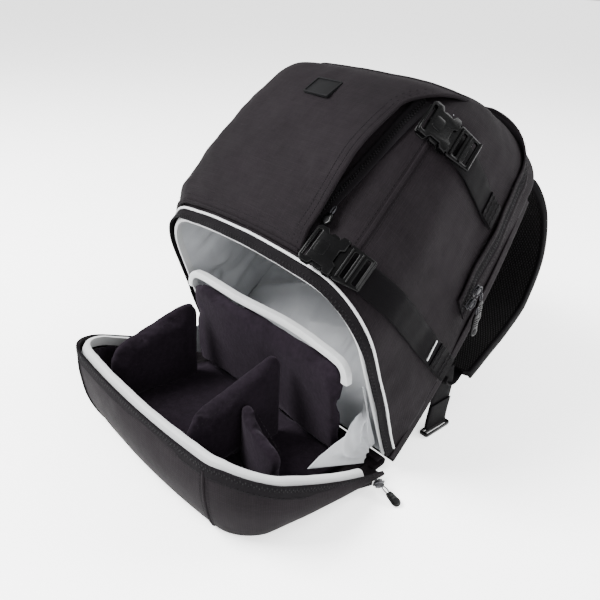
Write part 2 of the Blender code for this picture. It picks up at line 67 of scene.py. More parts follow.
PACK = Matrix.Translation(HINGE) @ Matrix.Rotation(-LEAN, 4, "X")
WORLD = Matrix()
TURN_X, TURN_Z = (Matrix.Rotation(math.pi / 2, 4, axis) for axis in "XZ")
UP, REARWARD = Vector((0, 0, 1)), Vector((0, 1, 0))
SIDES = (("right", 1), ("left", -1))
# free edge of the cover, as in the CAD model
COVER_TOP_ANGLE, COVER_WALL_SHARE = math.radians(48), 0.8
# half sizes of the sewn grains: (along, across, high)
TOOTH, STITCH, STITCH_PITCH = (0.0014, 0.0007, 0.0009), (0.0014, 0.00042, 0.00034), 0.0042
TOOTH_SHIFT = 0.0013        # how far each zip tooth sits beside the zip's middle line
RIM_ENDS, TRAY_ZIP_ENDS = (0.03, 1.97), (0.09, 1.91)    # where the rims and the tray's zip end


# ---- outlines ----------------------------------------------------------------
def span(a, b, u):
    return a + (b - a) * u


def steps(n):
    """n + 1 even values from 0 to 1."""
    return [i / n for i in range(n + 1)]


def ease(u):
    u = max(0.0, min(1.0, u))
    return u * u * (3 - 2 * u)


def outline(s, half_width, depth, radius, bulge, side_bulge=0.0):
    """Plan of a bag: s 0 is the right rear end, 1 the front centre, 2 the left rear."""
    mirrored = s > 1
    t = 2 - s if mirrored else s
    side = depth - radius
    arc = radius * math.pi / 2
    run = t * (side + arc + half_width - radius)
    if run < side:
        x, d = half_width, run
    elif run < side + arc:
        a = (run - side) / radius
        x = half_width - radius + radius * math.cos(a)
        d = side + radius * math.sin(a)
    else:
        x = half_width - radius - (run - side - arc)
        d = depth
    x += side_bulge * math.sin(math.pi * min(1, d / depth)) * (x / half_width)
    d += bulge * (1 - (x / half_width) ** 2) if x < half_width else 0
    return (-x if mirrored else x), d


def plan_depth(s, out=0.0):
    return outline(s, HALF_WIDTH + out, DEPTH + out, CORNER_R + out, FRONT_BULGE)[1]


def rim_height(d):
    return d * ZIP_SLOPE


def shoulder_height(d):
    return FRONT_HEIGHT - TOP_R + TOP_SLOPE * (DEPTH - d)


def half_at(h):
    """The pack's half width at height h."""
    return HALF_WIDTH - SIDE_TAPER * (h / FRONT_HEIGHT) ** 2


def pack_at(s, h, out=0.0):
    """A point on the pack's wall in the pack's own frame: x, -depth, height."""
    x, d = outline(s, half_at(h) + out, DEPTH + out, CORNER_R + out, FRONT_BULGE)
    return Vector((x, -d, h))


def cap_at(s, angle, out=0.0):
    grown = TOP_R + out
    _, d = outline(s, HALF_WIDTH + out, DEPTH + out, CORNER_R + out, FRONT_BULGE)
    x, y, _ = pack_at(s, shoulder_height(d), out)
    inset = grown * (1 - math.cos(angle))
    mid = DEPTH / 2
    d = mid + (-y - mid) * (1 - inset / mid)
    return Vector((x * (1 - inset / HALF_WIDTH), -d, shoulder_height(d) + grown * math.sin(angle)))


def crinkle(p):
    """How far loose pack cloth stands off its true surface at p."""
    broad = noise.noise(p * 8.0 + Vector((3.1, 0.4, 7.7)))
    middle = noise.noise(p * 21.0 + Vector((0.0, 5.2, 1.3)))
    fine = noise.noise(p * 55.0)
    return 0.0036 * broad + 0.0024 * middle + 0.0007 * fine


def skin(s, h, out=0.0):
    """The visible cloth of the pack's wall at (s, h), standing out from it."""
    return pack_at(s, h, out + crinkle(pack_at(s, h)))


def skin_cap(s, angle, out=0.0):
    return cap_at(s, angle, out + crinkle(cap_at(s, angle)))


def tray_at(s, z, out=0.0):
    x, d = outline(
        s, HALF_WIDTH + out, TRAY_DEPTH + out, TRAY_CORNER_R + out, TRAY_BULGE, TRAY_SIDE_BULGE
    )
    return Vector((x, HINGE_Y - d, z))


def tray_rim(s, out=0.0):
    y = tray_at(s, 0, out).y
    return HINGE_Z + rim_height(min(HINGE_Y - y, TRAY_DEPTH)) - RIM_GAP


def tray_wall(s, v, out=0.0, foot=0.0012, below=0.0):
    swell = -TRAY_TUCK * (1 - v) ** 2 + 0.004 * math.sin(math.pi * v)
    top = max(tray_rim(s, out) - below, foot + 0.004)
    return tray_at(s, foot + (top - foot) * v, out + swell)


# ---- mesh helpers ------------------------------------------------------------
def fit(piece, body, slot, *nodes, fill=None):
    """Fixes a piece to its body and hides the CAD nodes it stands for; the material slot is not used."""
    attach(piece, body)
    if nodes:
        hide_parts(*nodes)


def new_object(name, data):
    obj = bpy.data.objects.new(name, data)
    bpy.context.scene.collection.objects.link(obj)
    return obj


def finish_mesh(bm, name, mat, matrix):
    mesh = bpy.data.meshes.new(name)
    bm.to_mesh(mesh)
    bm.free()
    mesh.shade_smooth()
    mesh.transform(matrix)
    mesh.materials.append(mat)
    return new_object(name, mesh)


def grid(name, point, nu, nv, mat, thickness, matrix=PACK):
    """A curved cloth panel with a metric UV map, thickened to a closed body."""
    bm = bmesh.new()
    uv_layer = bm.loops.layers.uv.new("weave")
    rows = [[bm.verts.new(point(u, v)) for u in steps(nu)] for v in steps(nv)]
    across = [0.0]
    middle = rows[nv // 2]
    for a, b in zip(middle, middle[1:]):
        across.append(across[-1] + (b.co - a.co).length)
    up = [0.0]
    for low, high in zip(rows, rows[1:]):
        up.append(up[-1] + (high[nu // 2].co - low[nu // 2].co).length)
    for j in range(nv):
        for i in range(nu):
            corners = ((i, j), (i + 1, j), (i + 1, j + 1), (i, j + 1))
            face = bm.faces.new([rows[b][a] for a, b in corners])
            for loop, (a, b) in zip(face.loops, corners):
                loop[uv_layer].uv = (across[a], up[b])
    obj = finish_mesh(bm, name, mat, matrix)
    thicken(obj, thickness, 0.0)
    return obj


def evaluated(obj):
    """The mesh of an object as its modifiers or its curve settings leave it."""
    bpy.context.view_layer.update()
    deps = bpy.context.evaluated_depsgraph_get()
    mesh = bpy.data.meshes.new_from_object(obj.evaluated_get(deps), depsgraph=deps)
    mesh.name = obj.name
    return mesh


def apply_modifiers(obj):
    mesh = evaluated(obj)
    obj.modifiers.clear()
    obj.data = mesh


def thicken(obj, thickness, offset):
    mod = obj.modifiers.new("thickness", "SOLIDIFY")
    mod.thickness, mod.offset = thickness, offset
    apply_modifiers(obj)


def refine(obj):
    mod = obj.modifiers.new("fine", "SUBSURF")
    mod.levels = mod.render_levels = 1
    apply_modifiers(obj)
    obj.data.shade_smooth()


def sharpen(obj, degrees=50):
    obj.data.shade_smooth()
    obj.data.set_sharp_from_angle(angle=math.radians(degrees))


def from_curve(name, curve, splines, matrix, mat):
    """Point lists as one curve, kept as a mesh object; splines are (points, closed)."""
    for points, closed in splines:
        line = curve.splines.new("POLY")
        line.points.add(len(points) - 1)
        for target, p in zip(line.points, points):
            target.co = (*p, 0, 1) if len(p) == 2 else (*p, 1)
        line.use_cyclic_u = closed
    obj = new_object(name, curve)
    mesh = evaluated(obj)
    bpy.data.objects.remove(obj, do_unlink=True)
    mesh.name = name
    mesh.transform(matrix)
    mesh.materials.append(mat)
    return new_object(name, mesh)


def tube(name, points, radius, mat, matrix=PACK, sides=3):
    """A round cord through the points."""
    curve = bpy.data.curves.new(name, "CURVE")
    curve.dimensions = "3D"
    curve.bevel_depth = radius
    curve.bevel_resolution = sides
    curve.use_fill_caps = True
    obj = from_curve(name, curve, [(points, False)], matrix, mat)
    obj.data.shade_smooth()
    return obj


def plate(name, outlines, thickness, mat, matrix, rounding=0.0008):
    """A moulded flat part in its local XY plane; later outlines are holes."""
    curve = bpy.data.curves.new(name, "CURVE")
    curve.dimensions = "2D"
    curve.fill_mode = "BOTH"
    curve.extrude = thickness / 2 - rounding
    curve.bevel_depth = rounding
    curve.bevel_resolution = 2
    curve.offset = -rounding
    obj = from_curve(name, curve, [(points, True) for points in outlines], matrix, mat)
    bm = bmesh.new()
    bm.from_mesh(obj.data)
    bmesh.ops.remove_doubles(bm, verts=bm.verts, dist=0.00001)
    bm.to_mesh(obj.data)
    bm.free()
    sharpen(obj)
    return obj


def rounded(x0, y0, x1, y1, r):
    """A rectangle with round corners, as outline points."""
    points = []
    corners = ((x1 - r, y1 - r), (x0 + r, y1 - r), (x0 + r, y0 + r), (x1 - r, y0 + r))
    for quarter, (cx, cy) in enumerate(corners):
        for t in steps(4):
            a = math.pi / 2 * (quarter + t)
            points.append((cx + r * math.cos(a), cy + r * math.sin(a)))
    return points


def block(half_x, half_y, r):
    return rounded(-half_x, -half_y, half_x, half_y, r)


def join(name, objs):
    """Joins finished meshes into the first one."""
    bm = bmesh.new()
    materials = []
    for obj in objs:
        start = len(bm.faces)
        bm.from_mesh(obj.data)
        mat = obj.data.materials[0]
        if mat not in materials:
            materials.append(mat)
        bm.faces.ensure_lookup_table()
        for face in bm.faces[start:]:
            face.material_index = materials.index(mat)
    mesh = bpy.data.meshes.new(name)
    bm.to_mesh(mesh)
    bm.free()
    for mat in materials:
        mesh.materials.append(mat)
    for obj in objs:
        bpy.data.objects.remove(obj, do_unlink=True)
    return new_object(name, mesh)


def moulded(name, pieces, body, slot, node):
    """One hard part joined from its plates and bars."""
    part = join(name, pieces)
    sharpen(part)
    fit(part, body, slot, node)


def beads(name, places, size, mat, matrix=PACK, segments=6):
    """Small rounded grains, such as zip teeth or stitches: places are (point, along, up)."""
    turns = [2 * math.pi * k / segments for k in range(segments)]
    ring = [(math.cos(a), math.sin(a)) for a in turns]
    grain = [(1.0, 0.0, 0.0)]
    for x, r in ((0.72, 0.70), (-0.72, 0.70)):
        grain += [(x, r * a, r * b) for a, b in ring]
    grain.append((-1.0, 0.0, 0.0))
    faces = []
    for k in range(segments):
        j = (k + 1) % segments
        faces.append((0, 1 + k, 1 + j))
        faces.append((1 + k, 1 + segments + k, 1 + segments + j, 1 + j))
        faces.append((1 + segments + k, 1 + 2 * segments, 1 + segments + j))
    verts, polys = [], []
    for point, along, up in places:
        x = along.normalized()
        z = (up - x * up.dot(x)).normalized()
        y = z.cross(x)
        start = len(verts)
        x, y, z = x * size[0], y * size[1], z * size[2]
        verts += [point + x * a + y * b + z * c for a, b, c in grain]
        polys += [tuple(start + k for k in face) for face in faces]
    mesh = bpy.data.meshes.new(name)
    mesh.from_pydata(verts, [], polys)
    mesh.shade_smooth()
    mesh.transform(matrix)
    mesh.materials.append(mat)
    return new_object(name, mesh)


def teeth_along(point, up, count):
    """Places for zip teeth on both sides of a path point(t), t from 0 to 1."""
    places = []
    for i in range(count):
        t = (i + 0.5) / count
        here = point(t)
        along = point(min(1, t + 0.003)) - point(max(0, t - 0.003))
        normal = up(t)
        side = normal.cross(along).normalized()
        offset = TOOTH_SHIFT if i % 2 else -TOOTH_SHIFT
        places.append((here + side * offset, side, normal))
    return places


def stitch_row(name, point, up, length, matrix=PACK, pitch=STITCH_PITCH):
    """A row of sewn stitches along point(t), lying in the cloth whose outward side is up(t)."""
    count = max(2, int(length / pitch))
    places = []
    for i in range(count):
        t = (i + 0.5) / count
        run = point(min(1, t + 0.004)) - point(max(0, t - 0.004))
        places.append((point(t), run, up(t)))
    return beads(name, places, STITCH, THREAD, matrix, 5)


# ---- materials ---------------------------------------------------------------
class Nodes:
    """A short way to write a node material."""

    def __init__(self, name, color, rough, metallic=0.0, sheen=0.0, spec=0.5):
        self.mat = bpy.data.materials.new(name)
        self.mat.use_nodes = True
        self.tree = self.mat.node_tree
        self.shader = self.tree.nodes["Principled BSDF"]
        self.color = color
        values = {
            "Base Color": (*color, 1), "Roughness": rough, "Metallic": metallic,
            "Specular IOR Level": spec, "Sheen Weight": sheen, "Sheen Roughness": 0.5,
        }
        for key, value in values.items():
            self.shader.inputs[key].default_value = value

    def add(self, kind, inputs, settings=None):
        """A node with its sockets set to numbers or wired to other nodes' outputs."""
        node = self.tree.nodes.new(kind)
        for key, value in (settings or {}).items():
            setattr(node, key, value)
        for key, value in inputs.items():
            if isinstance(value, bpy.types.NodeSocket):
                self.tree.links.new(value, node.inputs[key])
            else:
                node.inputs[key].default_value = value
        return node

    def coords(self, source="UV", scale=(1, 1, 1), turn=0):
        place = self.add("ShaderNodeTexCoord", {}).outputs[source]
        inputs = {"Vector": place, "Scale": scale, "Rotation": (0, 0, math.radians(turn))}
        return self.add("ShaderNodeMapping", inputs).outputs["Vector"]

    def threads(self, vector, direction, pitch):
        """Rounded ribs across a direction of the cloth, pitch metres apart."""
        inputs = {"Vector": vector, "Scale": 1 / (pitch * math.pi * 2), "Distortion": 0.0}
        return self.add("ShaderNodeTexWave", inputs, {"bands_direction": direction}).outputs["Fac"]

    def noise(self, scale, detail=3.0, source="Object", stretch=(1, 1, 1)):
        inputs = {
            "Vector": self.coords(source, stretch), "Scale": scale, "Detail": detail, "Roughness": 0.55,
        }
        return self.add("ShaderNodeTexNoise", inputs).outputs["Fac"]

    def math(self, operation, a, b):
        return self.add("ShaderNodeMath", {0: a, 1: b}, {"operation": operation}).outputs[0]

    def mix(self, a, share_a, b, share_b):
        return self.math("ADD", self.math("MULTIPLY", a, share_a), self.math("MULTIPLY", b, share_b))

    def paint(self, fac, spread=0.25, low=None, high=None, start=0.25, end=0.75):
        """Colours the base between a darker and a lighter version of its colour."""
        node = self.add("ShaderNodeValToRGB", {"Fac": fac})
        dark, light = node.color_ramp.elements
        dark.position, light.position = start, end
        dark.color = (*(low or [c * (1 - spread) for c in self.color]), 1)
        light.color = (*(high or [min(1, c * (1 + spread)) for c in self.color]), 1)
        self.tree.links.new(node.outputs["Color"], self.shader.inputs["Base Color"])

    def roughen(self, fac, low, high):
        node = self.add("ShaderNodeMapRange", {"Value": fac, "To Min": low, "To Max": high})
        self.tree.links.new(node.outputs["Result"], self.shader.inputs["Roughness"])

    def bump(self, *layers):
        """layers are (height output, strength, distance in metres)."""
        normal = {}
        for height, strength, distance in layers:
            inputs = {"Height": height, "Strength": strength, "Distance": distance, **normal}
            normal = {"Normal": self.add("ShaderNodeBump", inputs).outputs["Normal"]}
        self.tree.links.new(normal["Normal"], self.shader.inputs["Normal"])


def weave_material(name, color):
    """Plain-woven nylon with a heavier ripstop thread every few millimetres."""
    thread, grid_pitch, rough = 0.0011, 0.0042, 0.78
    n = Nodes(name, color, rough, sheen=0.003, spec=0.045)
    uv = n.coords()
    cloth = n.math("MULTIPLY", n.threads(uv, "X", thread), n.threads(uv, "Y", thread))
    heavy = [n.math("GREATER_THAN", n.threads(uv, way, grid_pitch), 0.93) for way in "XY"]
    relief = n.math("ADD", cloth, n.math("MULTIPLY", n.math("MAXIMUM", *heavy), 0.3))
    # two-tone yarns: streaks along the warp and along the weft
    streaks = [n.noise(520.0, 2.0, "UV", stretch) for stretch in ((1, 0.12, 1), (0.12, 1, 1))]
    tone = n.mix(n.noise(14.0, 4.0), 0.38, relief, 0.16)
    tone = n.math("ADD", tone, n.math("MULTIPLY", n.math("ADD", *streaks), 0.26))
    n.paint(tone, 0.42, start=0.34, end=0.74)
    n.roughen(n.noise(60.0, 2.0), rough - 0.08, rough + 0.1)
    n.bump((n.noise(38.0, 4.0), 0.25, 0.0012), (relief, 0.55, 0.00025))
    return n.mat


def webbing_material(name, color, rib, rough=0.62):
    n = Nodes(name, color, rough, sheen=0.0015, spec=0.025)
    twill = n.threads(n.coords(turn=45), "X", rib * 0.8)
    relief = n.mix(n.threads(n.coords(), "X", rib), 0.6, twill, 0.4)
    n.paint(n.mix(relief, 0.5, n.noise(30.0), 0.5), 0.35)
    n.roughen(n.noise(80.0), rough - 0.1, rough + 0.12)
    n.bump((n.noise(26.0), 0.2, 0.0015), (relief, 0.4, 0.00025))
    return n.mat


def fleece_material(name, color):
    n = Nodes(name, color, 0.95, sheen=0.05, spec=0.03)
    n.shader.inputs["Sheen Tint"].default_value = (0.55, 0.47, 0.58, 1)
    fuzz, tufts, patches = n.noise(900.0), n.noise(190.0, 4.0), n.noise(16.0)
    n.paint(n.mix(tufts, 0.5, patches, 0.5), 0.35, start=0.35, end=0.65)
    n.bump((patches, 0.25, 0.0030), (tufts, 0.55, 0.0009), (fuzz, 0.5, 0.0004))
    return n.mat


def mesh_material(name, color):
    """Spacer mesh: staggered open cells over a darker ground."""
    n = Nodes(name, color, 0.85, sheen=0.004, spec=0.05)
    cells = n.math("MULTIPLY", *[n.threads(n.coords(turn=turn), "X", 0.0017) for turn in (30, -30)])
    n.paint(cells, low=[c * 0.25 for c in color], high=[c * 2.3 for c in color], start=0.12, end=0.62)
    n.bump((n.noise(30.0), 0.2, 0.001), (cells, 0.9, 0.0009))
    return n.mat


def binding_material(name, color):
    n = Nodes(name, color, 0.6, sheen=0.3, spec=0.35)
    cross = n.noise(260.0, 2.0)
    n.paint(n.mix(n.noise(22.0), 0.6, cross, 0.4), 0.10)
    ribs = n.threads(n.coords(), "X", 0.0012)
    n.bump((n.noise(70.0), 0.3, 0.0006), (ribs, 0.35, 0.0002), (cross, 0.3, 0.0002))
    return n.mat


def lining_material(name, color):
    n = Nodes(name, color, 0.5, sheen=0.25, spec=0.45)
    uv = n.coords()
    cloth = n.math("MULTIPLY", n.threads(uv, "X", 0.0009), n.threads(uv, "Y", 0.0009))
    n.paint(n.noise(18.0, 4.0), 0.12)
    n.roughen(n.noise(40.0), 0.42, 0.62)
    n.bump((n.noise(34.0, 5.0), 0.55, 0.0022), (cloth, 0.3, 0.00018))
    return n.mat


def plastic_material(name, color, rough, spec):
    n = Nodes(name, color, rough, spec=spec)
    scuffs, wear = n.noise(420.0), n.noise(60.0, 5.0)
    n.paint(wear, 0.3)
    n.roughen(n.mix(wear, 0.6, scuffs, 0.4), rough - 0.08, rough + 0.18)
    n.bump((scuffs, 0.10, 0.0002))
    return n.mat


def metal_material(name, color):
    n = Nodes(name, color, 0.38, metallic=0.85)
    wear = n.noise(150.0, 4.0)
    n.paint(wear, 0.35)
    n.roughen(wear, 0.26, 0.53)
    n.bump((n.noise(700.0), 0.15, 0.0001))
    return n.mat


CLOTH = weave_material("charcoal_ripstop", (0.0055, 0.0043, 0.0052))
TAPE = webbing_material("zip_tape", (0.0046, 0.0041, 0.0047), 0.0008, 0.85)
WEB = webbing_material("strap_webbing", (0.0012, 0.0010, 0.0013), 0.0009)
FLEECE = fleece_material("divider_fleece", (0.0062, 0.0045, 0.0066))
MESH = mesh_material("spacer_mesh", (0.0030, 0.0028, 0.0030))
BINDING = binding_material("grey_binding", (0.33, 0.335, 0.34))
LINING = lining_material("silver_lining", (0.30, 0.31, 0.325))
PLASTIC = plastic_material("buckle_plastic", (0.0009, 0.0009, 0.0010), 0.20, 0.085)
TEETH = plastic_material("zip_teeth", (0.0032, 0.0032, 0.0036), 0.6, 0.10)
METAL = metal_material("zip_slider_metal", (0.022, 0.022, 0.025))
THREAD = webbing_material("sewing_thread", (0.0120, 0.0110, 0.0122), 0.0006, 0.7)
PATCH = plastic_material("patch_rubber", (0.0024, 0.0024, 0.0027), 0.5, 0.06)


# ---- camera, light and floor ---------------------------------------------------
def build_camera():
    azimuth, elevation, roll = math.radians(46.43), math.radians(26.82), math.radians(-3.29)
    back = Vector((
        math.sin(azimuth) * math.cos(elevation), -math.cos(azimuth) * math.cos(elevation), math.sin(elevation)
    ))
    right = (-back).cross(UP).normalized()
    down = (-back).cross(right)
    x = math.cos(roll) * right + math.sin(roll) * down
    y = -(-math.sin(roll) * right + math.cos(roll) * down)
    data = bpy.data.cameras.new("camera")
    data.lens = 40.55
    data.sensor_width = 36.0
    data.clip_start = 0.01
    camera = new_object("camera", data)
    turn = Matrix((x, y, back)).transposed().to_4x4()
    camera.matrix_world = Matrix.Translation((0.5131, -0.3753, 0.5002)) @ turn
    bpy.context.scene.camera = camera


def area_light(name, place, target, size, power):
    data = bpy.data.lights.new(name, "AREA")
    data.size, data.energy = size, power
    light = new_object(name, data)
    light.location = place
    light.rotation_euler = (Vector(target) - Vector(place)).to_track_quat("-Z", "Y").to_euler()


def build_stage():
    bpy.ops.mesh.primitive_plane_add(size=30, location=(0, 0, 0))
    floor = bpy.context.object
    floor.name = "floor"
    n = Nodes("floor_paper", (0.93, 0.93, 0.93), 0.9)
    n.paint(n.noise(3.0), 0.01)
    for key, value in (("Emission Color", (1, 1, 1, 1)), ("Emission Strength", 1.3)):
        n.shader.inputs[key].default_value = value
    floor.data.materials.append(n.mat)
    world = bpy.data.worlds.new("studio")
    bpy.context.scene.world = world
    world.use_nodes = True
    sky = world.node_tree.nodes["Background"]
    for key, value in (("Color", (1, 1, 1, 1)), ("Strength", 1.15)):
        sky.inputs[key].default_value = value
    area_light("key", (-0.9, -1.1, 1.7), (0, 0.05, 0.15), 1.1, 200)
    area_light("fill", (1.8, -0.6, 1.1), (0, 0.05, 0.15), 1.4, 50)
    area_light("rim", (0.9, 1.6, 1.5), (0, 0.1, 0.2), 1.2, 70)


# ---- wall frames, ribbons and sewn details ----------------------------------------
def wall_frame(s, h, out=0.0, surface=skin):
    """Point on the pack's cloth with its forward, upward and outward directions."""
    p = surface(s, h, out)
    forward = pack_at(s + 0.004, h, out) - pack_at(s - 0.004, h, out)
    up = pack_at(s, h + 0.002, out) - pack_at(s, h - 0.002, out)
    normal = up.cross(forward).normalized()
    return p, forward.normalized(), up.normalized(), normal


def ribbon(name, places, width, thickness, mat, matrix=PACK, crown=0.0):
    """A closed flat band: places are (point, side, normal); width may be a function of t."""
    bm = bmesh.new()
    uv_layer = bm.loops.layers.uv.new("weave")
    widths = [width(t) / 2 if callable(width) else width / 2 for t in (*steps(len(places) - 1), 0.5)]
    under = [(-1, -0.45), (-0.94, -1), (-0.6, -1), (0, -1), (0.6, -1), (0.94, -1), (1, -0.45)]
    shape = [*under, *[(a, -b) for a, b in reversed(under)]]
    rings, runs, run = [], [], 0.0
    for i, (point, side, normal) in enumerate(places):
        side, normal = side.normalized(), normal.normalized()
        if i:
            run += (point - places[i - 1][0]).length
        runs.append(run)
        ring = []
        for a, b in shape:
            lift = thickness / 2 * b + (crown * (1 - a * a) if b > 0 else 0)
            ring.append(bm.verts.new(point + side * (a * widths[i]) + normal * lift))
        rings.append(ring)
    count = len(shape)
    for i in range(len(rings) - 1):
        for k in range(count):
            j = (k + 1) % count
            corners = ((i, k), (i, j), (i + 1, j), (i + 1, k))
            face = bm.faces.new([rings[row][column] for row, column in corners])
            for loop, (row, column) in zip(face.loops, corners):
                loop[uv_layer].uv = (shape[column][0] * widths[-1], runs[row])
    for ring in (rings[0], rings[-1]):
        bm.faces.new(ring)
    bmesh.ops.recalc_face_normals(bm, faces=bm.faces)
    obj = finish_mesh(bm, name, mat, matrix)
    obj.data.set_sharp_from_angle(angle=math.radians(60))
    return obj


def wall_ribbon(name, line, width, thickness, mat, out, count=60, crown=0.0):
    """A band lying on the pack's wall along line(t) -> (s, h)."""
    places = []
    for t in steps(count):
        p, _, _, normal = wall_frame(*line(t), out)
        run = pack_at(*line(min(1, t + 0.01)), out) - pack_at(*line(max(0, t - 0.01)), out)
        places.append((p, normal.cross(run), normal))
    return ribbon(name, places, width, thickness, mat, crown=crown)


def line_length(point):
    points = [point(t) for t in steps(60)]
    return sum((b - a).length for a, b in zip(points, points[1:]))


def wall_stitches(name, line, out):
    def point(t):
        return skin(*line(t), out)

    return stitch_row(name, point, lambda t: wall_frame(*line(t), out)[3], line_length(point))


# ---- pack shell ------------------------------------------------------------------
SHELL_OUT = 0.0012
ZIP_BAND = 0.010            # the height of the zip tape above the parting rim


def shell_point(s, t):
    """t 0 to 1 runs up the wall, 1 to 2 over the rounded top."""
    if t <= 1:
        bottom = rim_height(plan_depth(s)) + RIM_GAP + ZIP_BAND
        return skin(s, span(bottom, shoulder_height(plan_depth(s)), t), SHELL_OUT)
    return skin_cap(s, (t - 1) * math.pi / 2, SHELL_OUT)


def build_shell():
    """One lofted shell: the walls, and the cap that also closes over the back."""
    bm = bmesh.new()
    uv_layer = bm.loops.layers.uv.new("weave")
    count, wall_rows, cap_rows, back_count, crown_rings = 190, 80, 26, 36, 13
    wall_run, cap_run = 0.27, 0.094
    s_values = [span(0.010, 1.990, t) for t in steps(count)]
    around = [s * 0.3394 for s in s_values]
    rows, heights = [], []
    for t in steps(wall_rows):
        rows.append([bm.verts.new(shell_point(s, t)) for s in s_values])
        heights.append(wall_run * t)
    for t in steps(cap_rows)[1:]:
        ring = [bm.verts.new(shell_point(s, 1 + t)) for s in s_values]
        left, right = ring[-1].co.copy(), ring[0].co.copy()
        for share in steps(back_count)[1:-1]:
            p = left.lerp(right, share)
            p.y += 0.004 * math.sin(math.pi * share)
            ring.append(bm.verts.new(p))
        rows.append(ring)
        heights.append(wall_run + cap_run * t)

    def quad(verts, uvs):
        face = bm.faces.new(verts)
        for loop, uv in zip(face.loops, uvs):
            loop[uv_layer].uv = uv

    for j in range(len(rows) - 1):
        low, high = rows[j], rows[j + 1]
        size = len(low)
        for i in range(size if j > wall_rows else count):
            k = (i + 1) % size
            a, b = (around[i], around[k]) if i < count else (i * 0.01, (i + 1) * 0.01)
            corners = ((a, heights[j]), (b, heights[j]), (b, heights[j + 1]), (a, heights[j + 1]))
            quad((low[i], low[k], high[k], high[i]), corners)
    last = inner = rows[-1]
    size = len(last)
    center = sum((v.co for v in last), Vector()) / size
    for t in steps(crown_rings)[1:-1]:
        share = 1 - t
        ring = []
        for v in last:
            p = center.lerp(v.co, share)
            p.z += 0.006 * (1 - share ** 2) + crinkle(p) * (1 - share)
            ring.append(bm.verts.new(p))
        for i in range(size):
            k = (i + 1) % size
            verts = (inner[i], inner[k], ring[k], ring[i])
            quad(verts, [(v.co.x, v.co.y) for v in verts])
        inner = ring
    quad(inner, [(v.co.x, v.co.y) for v in inner])
    bmesh.ops.recalc_face_normals(bm, faces=bm.faces)
    shell = finish_mesh(bm, "shell_fabric", CLOTH, PACK)
    thicken(shell, 0.0022, -1)
    fit(shell, "pack", "shell", "pack_side_right", "pack_side_left", "pack_front", "pack_top")


# slack folds of the lining: where, how slanted, how wide and how deep
WALL_FOLDS = ((1.70, 0.16, 0.030, 0.0045), (1.86, -0.08, 0.024, 0.0035), (0.27, 0.10, 0.026, 0.0040))
BACK_FOLDS = ((0.158, 0.34, 0.010, 0.013), (0.205, -0.22, 0.008, 0.010), (0.252, 0.20, 0.012, 0.012))


def build_lining():
    """The silver-grey lining seen through the open rim, loose inside the shell."""
    def loose(p):
        ridge = 1 - abs(noise.noise(p * 12.0 + Vector((9, 2, 4)))) * 2
        cross = 1 - abs(noise.noise(Vector((p.x * 34, p.y * 34, p.z * 11)))) * 2
        return 0.0070 * ridge ** 3 + 0.0042 * cross ** 3 + 0.0018 * noise.noise(p * 52.0)

    def wall(u, v):
        s = span(0.012, 1.988, u)
        d = plan_depth(s)
        h = span(rim_height(d) + RIM_GAP + 0.004, shoulder_height(d) + 0.01, v)
        give = min(1.0, v * 6) * min(1.0, (1 - v) * 5 + 0.2)
        fold = 0.0
        for at, lean, width, deep in WALL_FOLDS:
            fold += deep * math.exp(-((s - at - lean * v) / width) ** 2)
        return pack_at(s, h, -0.0068 - (0.006 + fold) * give + loose(pack_at(s, h)) * give)

    side = grid("lining_walls", wall, 170, 80, LINING, 0.0008)

    def back(u, v):
        h = span(0.010, shoulder_height(0.0) + 0.01, v)
        x = span(-1, 1, u) * (half_at(h) - 0.008)
        fold = 0.0
        for at, lean, width, deep in BACK_FOLDS:
            q = (h - at - lean * x + 0.016 * noise.noise(Vector((x * 9, at * 40, 0)))) / width
            fold += deep * math.exp(-abs(q) ** 1.3)
        fold *= 1 - span(-1, 1, u) ** 8
        return Vector((x, -0.007 - 0.6 * loose(Vector((x, 0.2, h))) - fold, h))

    rear = grid("lining_back", back, 80, 100, LINING, 0.0008)

    def roof(u, v):
        x = span(-1, 1, u)
        y = span(-1, 1, v)
        p = Vector((x * (half_at(0.33) - 0.012), -DEPTH / 2 + y * 0.094, 0.0))
        p.z = shoulder_height(-p.y) + 0.012 + 0.030 * (1 - x ** 4) * (1 - y ** 4)
        p.z += loose(p)
        return p

    top = grid("lining_roof", roof, 40, 30, LINING, 0.0008)
    for piece in (side, rear, top):
        fit(piece, "pack", "lining")


def rim_line(lift):
    """A line along the pack's parting rim, lift metres above it, as line(t) -> (s, h)."""
    def line(t):
        s = span(*RIM_ENDS, t)
        return s, rim_height(plan_depth(s)) + RIM_GAP + lift
    return line


def build_pack_rim():
    """Zip tape, teeth, the thin piping above it and the lining's bound edge."""
    tape = wall_ribbon("pack_zip_band", rim_line(0.0048), 0.0125, 0.0018, TAPE, 0.0020, 150)
    fit(tape, "pack", "tape", "pack_zip_tape")
    places = teeth_along(
        lambda t: skin(*rim_line(0.0012)(t), 0.0028), lambda t: wall_frame(*rim_line(0.0)(t))[3], 300
    )
    fit(beads("pack_zip_teeth", places, TOOTH, TEETH), "pack", "zip_metal")
    for k, lift in enumerate((0.0036, 0.0086)):
        fit(wall_stitches("pack_zip_stitches_" + str(k), rim_line(lift), 0.0032), "pack", "tape")
    cord = [skin(*rim_line(0.0122)(t), 0.0030) for t in steps(160)]
    fit(tube("pack_piping_cord", cord, 0.0015, BINDING), "pack", "binding", "pack_rim_piping")
    inner = []
    for t in steps(150):
        p, _, _, normal = wall_frame(*rim_line(0.0045)(t), -0.0062, pack_at)
        inner.append((p, UP, normal))
    fit(ribbon("pack_lining_binding", inner, 0.010, 0.0034, BINDING, crown=0.0008), "pack", "binding")


